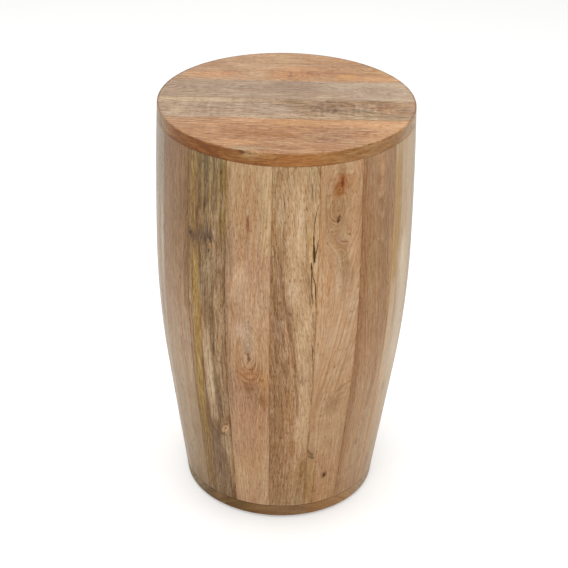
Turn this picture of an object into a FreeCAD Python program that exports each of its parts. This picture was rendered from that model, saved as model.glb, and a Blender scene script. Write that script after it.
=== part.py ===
import FreeCAD, Part
import math
import os

# Drum side table: a coopered, bellied barrel of upright wooden staves, closed by a board top and a
# board base. Millimetres, +Z up. The origin is on the floor, on the axis of the drum.
# The top runs flush with the staves, and the base is narrower, so the outline swells and then draws in.

# ---- overall outline ----
TABLE_HEIGHT = 600.0
TOP_RADIUS = 175.0
BASE_RADIUS = 140.0
BELLY_RADIUS = 179.5
BELLY_HEIGHT = 390.0
LOWER_ARC_RADIUS = 1400.0
TOP_THICKNESS = 17.5
BASE_THICKNESS = 20.0
GLIDE_HEIGHT = 3.0
ARRIS = 1.0

# ---- staves ----
STAVE_COUNT = 18
FIRST_STAVE_ANGLE = -85.2
STAVE_END_THICKNESS = 20.0

# ---- loose tongues in the stave joints ----
TONGUE_THICKNESS = 4.0
TONGUE_WIDTH = 16.0
TONGUE_DEPTH_FROM_INSIDE = 9.5
TONGUE_END_STOP = 24.0
GROOVE_CLEARANCE = 0.1
GROOVE_END_ROOM = 2.0

# ---- boards of the top and of the base, which run along X ----
TOP_JOINTS_Y = (67.0, 3.0, -64.0)
TOP_DOWELS_X = (-90.0, 0.0, 90.0)
BASE_JOINTS_Y = (70.0, 0.0, -70.0)
BASE_DOWELS_X = (-70.0, 0.0, 70.0)

# ---- glue dowels ----
DOWEL_RADIUS = 3.0
DOWEL_LENGTH = 40.0
DOWEL_CHAMFER = 0.6
DOWEL_CLEARANCE = 0.05
DOWEL_END_ROOM = 1.0

# ---- plywood former rings ----
RING_THICKNESS = 18.0
RING_GLUE_GAP = 0.1
UPPER_RING_BORE = 125.0
LOWER_RING_BORE = 92.0

# ---- countersunk wood screws ----
SCREW_COUNT = 8
SCREW_FIRST_ANGLE = 22.5
HEAD_RADIUS = 4.0
HEAD_HEIGHT = 2.4
HEAD_RECESS = 1.0
RECESS_LENGTH = 4.2
RECESS_WIDTH = 0.9
RECESS_DEPTH = 1.4
SCREW_POINT = 4.0
SCREW_CLEARANCE = 0.05
TOP_SCREW_RADIUS = 2.0
TOP_SCREW_LENGTH = 28.0
TOP_SCREW_CIRCLE = 140.0
BASE_SCREW_RADIUS = 2.25
BASE_SCREW_LENGTH = 34.0
BASE_SCREW_CIRCLE = 107.0

# ---- floor glides and their nails ----
GLIDE_COUNT = 4
GLIDE_FIRST_ANGLE = 45.0
GLIDE_CIRCLE = 115.0
GLIDE_RADIUS = 11.0
GLIDE_EDGE_ROUND = 1.0
NAIL_RADIUS = 1.1
NAIL_LENGTH = 14.0
NAIL_HEAD_RADIUS = 2.6
NAIL_HEAD_HEIGHT = 0.9
NAIL_HEAD_RECESS = 0.5
NAIL_CLEARANCE = 0.05

# ---- heights that follow ----
BASE_UNDERSIDE = GLIDE_HEIGHT
STAVE_FOOT = BASE_UNDERSIDE + BASE_THICKNESS
STAVE_HEAD = TABLE_HEIGHT - TOP_THICKNESS
STAVE_HALF_ANGLE = 180.0 / STAVE_COUNT
FAR = 400.0

UP = FreeCAD.Vector(0, 0, 1)
DOWN = FreeCAD.Vector(0, 0, -1)
AXIS_POINT = FreeCAD.Vector(0, 0, 0)


def at(x, y, z):
    return FreeCAD.Vector(x, y, z)


def on_circle(radius, degrees, z):
    angle = math.radians(degrees)
    return at(radius * math.cos(angle), radius * math.sin(angle), z)


def turned(shape, degrees):
    copy = shape.copy()
    copy.rotate(AXIS_POINT, UP, degrees)
    return copy


def ring_angles(count, first):
    return [first + index * 360.0 / count for index in range(count)]


# ---- the outline of the drum ----


def upper_arc_radius():
    """The arc that is upright at the belly and passes the rim of the top."""
    rise = TABLE_HEIGHT - BELLY_HEIGHT
    inset = BELLY_RADIUS - TOP_RADIUS
    return (rise ** 2 + inset ** 2) / (2.0 * inset)


def taper_end_angle():
    """Angle, on the lower arc, where the straight taper from the base meets it tangentially."""
    run = BASE_RADIUS - (BELLY_RADIUS - LOWER_ARC_RADIUS)
    drop = BASE_UNDERSIDE - BELLY_HEIGHT
    reach = math.hypot(run, drop)
    return math.atan2(drop, run) + math.acos(LOWER_ARC_RADIUS / reach)


def lower_arc_point(angle):
    radius = BELLY_RADIUS - LOWER_ARC_RADIUS + LOWER_ARC_RADIUS * math.cos(angle)
    return at(radius, 0, BELLY_HEIGHT + LOWER_ARC_RADIUS * math.sin(angle))


def upper_radius(z):
    arc = upper_arc_radius()
    return BELLY_RADIUS - arc + math.sqrt(arc ** 2 - (z - BELLY_HEIGHT) ** 2)


def drum_radius(z):
    """Radius of the outline at any height."""
    taper_top = lower_arc_point(taper_end_angle())
    if z >= BELLY_HEIGHT:
        return upper_radius(z)
    if z >= taper_top.z:
        drop = z - BELLY_HEIGHT
        return BELLY_RADIUS - LOWER_ARC_RADIUS + math.sqrt(LOWER_ARC_RADIUS ** 2 - drop ** 2)
    share = (z - BASE_UNDERSIDE) / (taper_top.z - BASE_UNDERSIDE)
    return BASE_RADIUS + share * (taper_top.x - BASE_RADIUS)


def stave_outline_edges():
    """The outline from the foot of the staves to their head: taper, lower arc, upper arc."""
    join_angle = taper_end_angle()
    foot = at(drum_radius(STAVE_FOOT), 0, STAVE_FOOT)
    join = lower_arc_point(join_angle)
    belly = at(BELLY_RADIUS, 0, BELLY_HEIGHT)
    head = at(drum_radius(STAVE_HEAD), 0, STAVE_HEAD)
    middle = (BELLY_HEIGHT + STAVE_HEAD) / 2.0
    lower = Part.Arc(join, lower_arc_point(join_angle / 2.0), belly)
    upper = Part.Arc(belly, at(upper_radius(middle), 0, middle), head)
    return [Part.LineSegment(foot, join).toShape(), lower.toShape(), upper.toShape()]


def closed_face(points, edges):
    """A face in the XZ plane: the given edges, closed by straight lines through the points."""
    lines = [Part.makeLine(a, b) for a, b in zip(points[:-1], points[1:])]
    return Part.Face(Part.Wire(Part.__sortEdges__(edges + lines)))


def bored(solid, cutters):
    """The solid with all the cutters taken away."""
    return solid.cut(Part.makeCompound(cutters))


# ---- staves ----


def inner_flat(z):
    """Distance from the axis to the flat inner faces of the staves."""
    foot = drum_radius(STAVE_FOOT) - STAVE_END_THICKNESS
    head = drum_radius(STAVE_HEAD) - STAVE_END_THICKNESS
    share = (z - STAVE_FOOT) / (STAVE_HEAD - STAVE_FOOT)
    return foot + share * (head - foot)


def tongue_centre(z):
    """Distance from the axis to the middle of a tongue, which follows the inner edge of its joint."""
    return inner_flat(z) / math.cos(math.radians(STAVE_HALF_ANGLE)) + TONGUE_DEPTH_FROM_INSIDE


def tongue(extra, end_room):
    """A strip in the XZ plane of a stave joint, grown by extra all round and by end_room in length."""
    low = STAVE_FOOT + TONGUE_END_STOP - end_room
    high = STAVE_HEAD - TONGUE_END_STOP + end_room
    half = TONGUE_THICKNESS / 2.0 + extra
    corners = [
        at(tongue_centre(low) - half, 0, low),
        at(tongue_centre(low) + half, 0, low),
        at(tongue_centre(high) + half, 0, high),
        at(tongue_centre(high) - half, 0, high),
    ]
    face = Part.Face(Part.makePolygon(corners + corners[:1]))
    width = TONGUE_WIDTH + 2.0 * extra
    face.translate(at(0, -width / 2.0, 0))
    return face.extrude(at(0, width, 0))


def first_stave():
    """One stave, centred on the +X direction: turned outside, flat inside, grooved on both joints."""
    edges = stave_outline_edges()
    outer_foot = at(drum_radius(STAVE_FOOT), 0, STAVE_FOOT)
    outer_head = at(drum_radius(STAVE_HEAD), 0, STAVE_HEAD)
    closing = [outer_head, at(0, 0, STAVE_HEAD), at(0, 0, STAVE_FOOT), outer_foot]
    half_plane = turned(closed_face(closing, edges), -STAVE_HALF_ANGLE)
    wedge = half_plane.revolve(AXIS_POINT, UP, 2.0 * STAVE_HALF_ANGLE)
    beyond = [
        at(inner_flat(STAVE_FOOT), 0, STAVE_FOOT),
        at(FAR, 0, STAVE_FOOT),
        at(FAR, 0, STAVE_HEAD),
        at(inner_flat(STAVE_HEAD), 0, STAVE_HEAD),
    ]
    outside = Part.Face(Part.makePolygon(beyond + beyond[:1]))
    outside.translate(at(0, -FAR, 0))
    blank = wedge.common(outside.extrude(at(0, 2.0 * FAR, 0)))
    groove = tongue(GROOVE_CLEARANCE, GROOVE_END_ROOM)
    grooves = [turned(groove, side * STAVE_HALF_ANGLE) for side in (-1, 1)]
    return bored(blank, grooves).Solids[0]


def staves():
    pattern = first_stave()
    return [turned(pattern, angle) for angle in ring_angles(STAVE_COUNT, FIRST_STAVE_ANGLE)]


def stave_tongues():
    strip = tongue(0.0, 0.0)
    joints = ring_angles(STAVE_COUNT, FIRST_STAVE_ANGLE + STAVE_HALF_ANGLE)
    return Part.makeCompound([turned(strip, angle) for angle in joints])


# ---- screws ----


def screw_axis_points(count, first, circle, z):
    return [on_circle(circle, angle, z) for angle in ring_angles(count, first)]


def screw(radius, length, foot):
    """A countersunk wood screw that points up, with the flat of its head at foot."""
    head = Part.makeCone(HEAD_RADIUS, radius, HEAD_HEIGHT, foot, UP)
    shank_length = length - HEAD_HEIGHT - SCREW_POINT
    shank = Part.makeCylinder(radius, shank_length, foot + at(0, 0, HEAD_HEIGHT), UP)
    point = Part.makeCone(radius, 0.3, SCREW_POINT, foot + at(0, 0, length - SCREW_POINT), UP)
    body = head.fuse([shank, point]).removeSplitter()
    half = RECESS_LENGTH / 2.0
    side = RECESS_WIDTH / 2.0
    along_x = Part.makeBox(RECESS_LENGTH, RECESS_WIDTH, RECESS_DEPTH, foot + at(-half, -side, 0))
    along_y = Part.makeBox(RECESS_WIDTH, RECESS_LENGTH, RECESS_DEPTH, foot + at(-side, -half, 0))
    return bored(body, [along_x, along_y]).Solids[0]


def screw_hole(radius, length, foot, recess):
    """The countersunk blind hole for such a screw, whose head sits recess deep."""
    head_radius = HEAD_RADIUS + SCREW_CLEARANCE
    shank_radius = radius + SCREW_CLEARANCE
    sink = Part.makeCone(head_radius, shank_radius, HEAD_HEIGHT, foot, UP)
    mouth = Part.makeCylinder(head_radius, recess + 1.0, foot, DOWN)
    bore = Part.makeCylinder(shank_radius, length + 0.5, foot, UP)
    return mouth.fuse([sink, bore])


def top_screw_feet():
    z = STAVE_HEAD - RING_THICKNESS
    return screw_axis_points(SCREW_COUNT, SCREW_FIRST_ANGLE, TOP_SCREW_CIRCLE, z)


def base_screw_feet():
    z = BASE_UNDERSIDE + HEAD_RECESS
    return screw_axis_points(SCREW_COUNT, SCREW_FIRST_ANGLE, BASE_SCREW_CIRCLE, z)


def top_fixing_screws():
    return Part.makeCompound([screw(TOP_SCREW_RADIUS, TOP_SCREW_LENGTH, p) for p in top_screw_feet()])


def base_fixing_screws():
    return Part.makeCompound([screw(BASE_SCREW_RADIUS, BASE_SCREW_LENGTH, p) for p in base_screw_feet()])


def top_screw_holes():
    return [screw_hole(TOP_SCREW_RADIUS, TOP_SCREW_LENGTH, p, 0.0) for p in top_screw_feet()]


def base_screw_holes():
    return [screw_hole(BASE_SCREW_RADIUS, BASE_SCREW_LENGTH, p, HEAD_RECESS) for p in base_screw_feet()]


# ---- plywood former rings ----


def stave_polygon(z):
    """The inside of the staves at one height, drawn in by the glue gap."""
    corner = (inner_flat(z) - RING_GLUE_GAP) / math.cos(math.radians(STAVE_HALF_ANGLE))
    joints = ring_angles(STAVE_COUNT, FIRST_STAVE_ANGLE + STAVE_HALF_ANGLE)
    corners = [on_circle(corner, angle, z) for angle in joints]
    return Part.makePolygon(corners + corners[:1])


def former_ring(z, bore_radius, holes):
    """A many-sided plywood ring that fills the drum from wall to bore, between z and its upper face."""
    block = Part.makeLoft([stave_polygon(z), stave_polygon(z + RING_THICKNESS)], True, True)
    bore = Part.makeCylinder(bore_radius, RING_THICKNESS + 2.0, at(0, 0, z - 1.0), UP)
    return bored(block, [bore] + holes).Solids[0]


def upper_ring():
    return former_ring(STAVE_HEAD - RING_THICKNESS, UPPER_RING_BORE, top_screw_holes())


def lower_ring():
    return former_ring(STAVE_FOOT, LOWER_RING_BORE, base_screw_holes())


# ---- glue dowels ----


def dowel(x, joint_y, z):
    start = at(x, joint_y - DOWEL_LENGTH / 2.0, z)
    peg = Part.makeCylinder(DOWEL_RADIUS, DOWEL_LENGTH, start, at(0, 1, 0))
    rims = [edge for edge in peg.Edges if isinstance(edge.Curve, Part.Circle)]
    return peg.makeChamfer(DOWEL_CHAMFER, rims)


def dowel_hole(x, joint_y, z):
    length = DOWEL_LENGTH + 2.0 * DOWEL_END_ROOM
    start = at(x, joint_y - length / 2.0, z)
    return Part.makeCylinder(DOWEL_RADIUS + DOWEL_CLEARANCE, length, start, at(0, 1, 0))


def dowel_places(joints_y, dowels_x, z):
    return [(x, joint_y, z) for joint_y in joints_y for x in dowels_x]


def top_dowel_places():
    return dowel_places(TOP_JOINTS_Y, TOP_DOWELS_X, STAVE_HEAD + TOP_THICKNESS / 2.0)


def base_dowel_places():
    return dowel_places(BASE_JOINTS_Y, BASE_DOWELS_X, BASE_UNDERSIDE + BASE_THICKNESS / 2.0)


def top_board_dowels():
    return Part.makeCompound([dowel(*place) for place in top_dowel_places()])


def base_board_dowels():
    return Part.makeCompound([dowel(*place) for place in base_dowel_places()])


# ---- floor glides and nails ----


def glide_feet():
    return [on_circle(GLIDE_CIRCLE, a, 0.0) for a in ring_angles(GLIDE_COUNT, GLIDE_FIRST_ANGLE)]


def nail(foot, extra):
    """A flat-headed nail through a glide, grown by extra where it stands for its own hole."""
    head_foot = foot + at(0, 0, NAIL_HEAD_RECESS)
    head = Part.makeCylinder(NAIL_HEAD_RADIUS + extra, NAIL_HEAD_HEIGHT, head_foot, UP)
    shank = Part.makeCylinder(NAIL_RADIUS + extra, NAIL_LENGTH + extra, head_foot, UP)
    return head.fuse(shank).removeSplitter()


def nail_hole(foot):
    mouth_radius = NAIL_HEAD_RADIUS + NAIL_CLEARANCE
    mouth = Part.makeCylinder(mouth_radius, NAIL_HEAD_RECESS + 1.0, foot + at(0, 0, -1), UP)
    return nail(foot, NAIL_CLEARANCE).fuse(mouth)


def glide(foot):
    pad = Part.makeCylinder(GLIDE_RADIUS, GLIDE_HEIGHT, foot, UP)
    lower_rim = [edge for edge in pad.Edges if edge.BoundBox.ZMax < GLIDE_HEIGHT / 2.0]
    return bored(pad.makeFillet(GLIDE_EDGE_ROUND, lower_rim), [nail_hole(foot)]).Solids[0]


def floor_glides():
    return Part.makeCompound([glide(foot) for foot in glide_feet()])


def glide_nails():
    return Part.makeCompound([nail(foot, 0.0) for foot in glide_feet()])


# ---- board discs ----


def top_disc():
    """The whole top, as turned: the drum's own outline with its upper arris taken off."""
    z = STAVE_HEAD
    arris_z = TABLE_HEIGHT - ARRIS
    middle = (z + arris_z) / 2.0
    rim_low = at(drum_radius(z), 0, z)
    rim_high = at(drum_radius(arris_z), 0, arris_z)
    flat_edge = at(rim_high.x - ARRIS, 0, TABLE_HEIGHT)
    rim = Part.Arc(rim_low, at(drum_radius(middle), 0, middle), rim_high).toShape()
    closing = [rim_high, flat_edge, at(0, 0, TABLE_HEIGHT), at(0, 0, z), rim_low]
    return closed_face(closing, [rim]).revolve(AXIS_POINT, UP, 360.0)


def base_disc():
    """The whole base, as turned: the foot of the taper with its lower arris taken off."""
    low = BASE_UNDERSIDE
    rim_low = at(drum_radius(low + ARRIS), 0, low + ARRIS)
    rim_high = at(drum_radius(STAVE_FOOT), 0, STAVE_FOOT)
    flat_edge = at(rim_low.x - ARRIS, 0, low)
    closing = [rim_low, rim_high, at(0, 0, STAVE_FOOT), at(0, 0, low), flat_edge, rim_low]
    return closed_face(closing, []).revolve(AXIS_POINT, UP, 360.0)


def boards(disc, joints_y, holes):
    """The disc sawn into its boards, from the back one to the front one, and bored."""
    limits = [FAR] + list(joints_y) + [-FAR]
    pieces = []
    for back, front in zip(limits[:-1], limits[1:]):
        strip = Part.makeBox(2.0 * FAR, back - front, 2.0 * TABLE_HEIGHT, at(-FAR, front, -FAR))
        pieces.append(bored(disc.common(strip), holes).Solids[0])
    return pieces


def top_boards():
    holes = [dowel_hole(*place) for place in top_dowel_places()] + top_screw_holes()
    return boards(top_disc(), TOP_JOINTS_Y, holes)


def base_boards():
    holes = [dowel_hole(*place) for place in base_dowel_places()] + base_screw_holes()
    holes += [nail_hole(foot) for foot in glide_feet()]
    return boards(base_disc(), BASE_JOINTS_Y, holes)


# ---- all nodes ----


def model():
    nodes = {
        "top_board_dowels": top_board_dowels(),
        "base_board_dowels": base_board_dowels(),
        "stave_tongues": stave_tongues(),
        "upper_ring": upper_ring(),
        "lower_ring": lower_ring(),
        "top_fixing_screws": top_fixing_screws(),
        "base_fixing_screws": base_fixing_screws(),
        "floor_glides": floor_glides(),
        "glide_nails": glide_nails(),
    }
    for index, shape in enumerate(staves(), start=1):
        nodes[f"stave_{index:02d}"] = shape
    for index, shape in enumerate(top_boards(), start=1):
        nodes[f"top_board_{index}"] = shape
    for index, shape in enumerate(base_boards(), start=1):
        nodes[f"base_board_{index}"] = shape
    return nodes


os.makedirs("parts", exist_ok=True)
for name, shape in sorted(model().items()):
    if not shape.isValid():
        raise ValueError(f"{name} is not a valid shape")
    shape.exportStep(f"parts/{name}.step")
    print(f"{name}: {len(shape.Solids)} solids, {shape.Volume / 1000.0:.1f} cm3")
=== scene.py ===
import math

import bpy
import numpy as np
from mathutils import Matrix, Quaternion, Vector


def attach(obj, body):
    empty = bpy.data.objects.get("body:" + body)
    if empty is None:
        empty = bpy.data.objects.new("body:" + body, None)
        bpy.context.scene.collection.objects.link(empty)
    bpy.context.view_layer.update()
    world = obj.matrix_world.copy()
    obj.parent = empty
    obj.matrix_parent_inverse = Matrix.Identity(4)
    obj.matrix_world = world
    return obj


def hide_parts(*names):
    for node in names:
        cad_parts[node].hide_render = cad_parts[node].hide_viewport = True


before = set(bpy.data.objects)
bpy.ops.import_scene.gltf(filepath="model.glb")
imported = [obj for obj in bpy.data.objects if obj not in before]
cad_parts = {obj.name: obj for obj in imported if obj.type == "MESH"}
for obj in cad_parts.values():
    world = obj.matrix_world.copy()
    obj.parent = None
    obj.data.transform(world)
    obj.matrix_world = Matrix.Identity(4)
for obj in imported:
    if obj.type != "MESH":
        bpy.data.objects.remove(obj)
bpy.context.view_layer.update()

# ---- camera: metres and degrees, in the table's own frame ----

CAMERA_PLACE = (0.0, -1.9042, 1.4001)
CAMERA_AIM = (0.0016, 0.0, 0.3138)
CAMERA_ROLL = 1.231
CAMERA_LENS = 96.31
CAMERA_SENSOR = 36.0
CAMERA_REACH = 50.0


def add_aimed(name, data, place, aim, roll=0.0):
    """A new camera or lamp at a place, turned towards another place."""
    thing = bpy.data.objects.new(name, data)
    bpy.context.scene.collection.objects.link(thing)
    look = (Vector(aim) - Vector(place)).to_track_quat("-Z", "Y")
    thing.rotation_mode = "QUATERNION"
    thing.rotation_quaternion = look @ Quaternion((0.0, 0.0, 1.0), math.radians(roll))
    thing.location = place
    return thing


def add_camera():
    """The photograph's camera, as fitted to the outline of the table in it."""
    data = bpy.data.cameras.new("camera")
    data.lens = CAMERA_LENS
    data.sensor_width = CAMERA_SENSOR
    data.clip_end = CAMERA_REACH
    bpy.context.scene.camera = add_aimed("camera", data, CAMERA_PLACE, CAMERA_AIM, CAMERA_ROLL)


add_camera()


# ---- the table's own sizes, in millimetres ----

MM = 0.001
TABLE_HEIGHT = 600.0
TOP_RADIUS = 175.0
BASE_RADIUS = 140.0
BASE_UNDERSIDE = 3.0
BELLY_RADIUS = 179.5
BELLY_HEIGHT = 390.0
LOWER_ARC_RADIUS = 1400.0
ARRIS = 1.0

STAVE_COUNT = 18
FIRST_STAVE_ANGLE = -85.2
STAVE_FOOT = 23.0
STAVE_HEAD = 582.5
STAVE_END_THICKNESS = 20.0
STAVE_HALF_ANGLE = math.pi / STAVE_COUNT
STAVE_HALF_WIDTH = 30.7

TONGUE_DEPTH_FROM_INSIDE = 9.5
GROOVE_HALF_OPENING = 2.1
GROOVE_DEPTH = 8.1
GROOVE_FOOT = 45.0
GROOVE_HEAD = 560.5

TOP_JOINTS_Y = (67.0, 3.0, -64.0)


# ---- what is finer than the construction: eased corners and the hair lines between glued boards ----

SURFACE_INSET = 0.03
SEAM_EASE = 0.45
SEAM_GAP = 0.03
END_EASE = 0.5
JOINT_EASE = 0.25


def drum_radius(z):
    """Radius of the drum's outline at any height, a hair inside the construction's facets."""
    inset = BELLY_RADIUS - TOP_RADIUS
    rise = TABLE_HEIGHT - BELLY_HEIGHT
    upper_arc = (rise**2 + inset**2) / (2.0 * inset)
    arc_middle = BELLY_RADIUS - LOWER_ARC_RADIUS
    run = BASE_RADIUS - arc_middle
    drop = BASE_UNDERSIDE - BELLY_HEIGHT
    turn = math.atan2(drop, run) + math.acos(LOWER_ARC_RADIUS / math.hypot(run, drop))
    taper_top = BELLY_HEIGHT + LOWER_ARC_RADIUS * math.sin(turn)
    taper_radius = arc_middle + LOWER_ARC_RADIUS * math.cos(turn)
    from_belly = (z - BELLY_HEIGHT) ** 2
    upper = BELLY_RADIUS - upper_arc + np.sqrt(upper_arc**2 - np.where(z > BELLY_HEIGHT, from_belly, 0.0))
    lower = arc_middle + np.sqrt(LOWER_ARC_RADIUS**2 - np.where(z < BELLY_HEIGHT, from_belly, 0.0))
    share = (z - BASE_UNDERSIDE) / (taper_top - BASE_UNDERSIDE)
    taper = BASE_RADIUS + share * (taper_radius - BASE_RADIUS)
    return np.where(z >= BELLY_HEIGHT, upper, np.where(z >= taper_top, lower, taper)) - SURFACE_INSET


def inner_flat(z):
    """Distance from the drum's axis to the flat inner faces of the staves."""
    thickness = STAVE_END_THICKNESS - SURFACE_INSET
    foot = drum_radius(STAVE_FOOT) - thickness
    head = drum_radius(STAVE_HEAD) - thickness
    return foot + (z - STAVE_FOOT) / (STAVE_HEAD - STAVE_FOOT) * (head - foot)


# ---- steady noise, the same on every run ----

GRID_PRIMES = (73856093, 19349663, 83492791)
GRID_SHUFFLE = 1274126177
BITS_31 = 0x7FFFFFFF
BITS_24 = 0xFFFFFF
LAYER_SEED_STEP = 101
LAYERED_LEVEL = 0.8


def smooth_step(low, high, value):
    """0 below low, 1 above high and smooth between."""
    share = np.clip((value - low) / (high - low), 0.0, 1.0)
    return share * share * (3.0 - 2.0 * share)


def grid_number(column, row, seed):
    """A number from -1 to 1 for each point of a whole-number grid, always the same for the same seed."""
    mixed = (column * GRID_PRIMES[0]) ^ (row * GRID_PRIMES[1]) ^ (seed * GRID_PRIMES[2])
    mixed = mixed & BITS_31
    mixed = ((mixed ^ (mixed >> 13)) * GRID_SHUFFLE) & BITS_31
    mixed = (mixed ^ (mixed >> 16)) & BITS_24
    return mixed / float(BITS_24 >> 1) - 1.0


def soft_bumps(x, y, seed):
    """Soft bumps about one unit apart, from -1 to 1."""
    column = np.floor(x).astype(np.int64)
    row = np.floor(y).astype(np.int64)
    share_x = smooth_step(0.0, 1.0, x - column)
    share_y = smooth_step(0.0, 1.0, y - row)
    low, high = [
        grid_number(column, line, seed) * (1.0 - share_x) + grid_number(column + 1, line, seed) * share_x
        for line in (row, row + 1)
    ]
    return low * (1.0 - share_y) + high * share_y


def layered(x, y, seed, layers):
    """Bumps with finer ones on them."""
    total = 0.0
    weight = 1.0
    for layer in range(layers):
        finer = 2.0**layer
        total = total + weight * soft_bumps(x * finer, y * finer, seed + LAYER_SEED_STEP * layer)
        weight *= 0.5
    return total * LAYERED_LEVEL


def tone(code):
    """A colour as light, from six hexadecimal digits as they would show on a screen."""
    parts = np.array([int(code[i : i + 2], 16) for i in (0, 2, 4)]) / 255.0
    return np.where(parts <= 0.04045, parts / 12.92, ((parts + 0.055) / 1.055) ** 2.4)


# ---- the wood: what it looks like at each point of a board ----

# Lengths here are in millimetres. A path is a run of places: across, along, across, along and so on.

RING_SPACING = 2.2
PATH_STEPS = 8
LEAD_SHIFTS = (-24.0, -12.0, 0.0, 12.0, 24.0)
FIBRE_SWAY = 1.5
# How much the plain wood's drift, streaks and clouds deepen its tone.
DRIFT_DEPTH = 0.09
STREAK_DEPTH = 0.09
CLOUD_DEPTH = 0.07
# How uneven the outlines of marks are: in millimetres for a whorl, and else as a share of their size.
UNEVEN_WHORL = 1.4
UNEVEN_PATCH = 0.35
UNEVEN_CRACK = 0.45
UNEVEN_KNOT = 0.18
UNEVEN_TAIL = 0.6
# Where the softened outline of an oval starts and ends, as shares of its size.
WHORL_EDGE = (0.75, 1.35)
RIPPLE_EDGE = (0.5, 1.4)
KNOT_EDGE = (0.65, 1.15)
KNOT_HOLLOW = (0.1, 1.0)
HALO_START = 0.7
HALO_STRENGTH = 0.75
CRACK_BROWN = "6b430f"
CRACK_HALO = 0.5
CRACK_DEPTH = 1.8
CALMEST = 0.4
# The tone deepens towards each joint: how much it deepens, and how far before and behind the edge it
# starts and is full.
JOINT_DEPTH = 0.10
JOINT_DARK_REACH = 3.2
JOINT_DARK_BEYOND = 0.4
# A drawn line is full up to one share of its half width, and fades out by the other and a little more.
LINE_CORE = 0.2
LINE_REACH = 1.8
LINE_SOFTNESS = 0.1
STREAK_SOFTNESS = 0.65
PATCH_STRENGTH = 0.6
PATCH_SOFTNESS = 0.6
SEED_STEP = 1000
TURN_STEP = 7
# How the light's three parts swing where the wood is warmer or cooler.
WARM = np.array([0.045, 0.0, -0.075])


def between(value, stops):
    """Reads a run of stops at every value: place, amount, place, amount and so on."""
    return np.interp(value, stops[::2], stops[1::2])


def rounded_path(points):
    """A smooth line through the points."""
    points = np.reshape(points, (-1, 2)).astype(float)
    knots = np.vstack([2.0 * points[0] - points[1], points, 2.0 * points[-1] - points[-2]])
    t = (np.arange(PATH_STEPS) / PATH_STEPS)[:, None]
    found = []
    for before, start, end, after in zip(knots[:-3], knots[1:-2], knots[2:-1], knots[3:]):
        bend = (2.0 * before - 5.0 * start + 4.0 * end - after) * t**2
        twist = (3.0 * start - before - 3.0 * end + after) * t**3
        found.append(0.5 * (2.0 * start + (end - before) * t + bend + twist))
    return np.vstack(found + [points[-1]])


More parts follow.
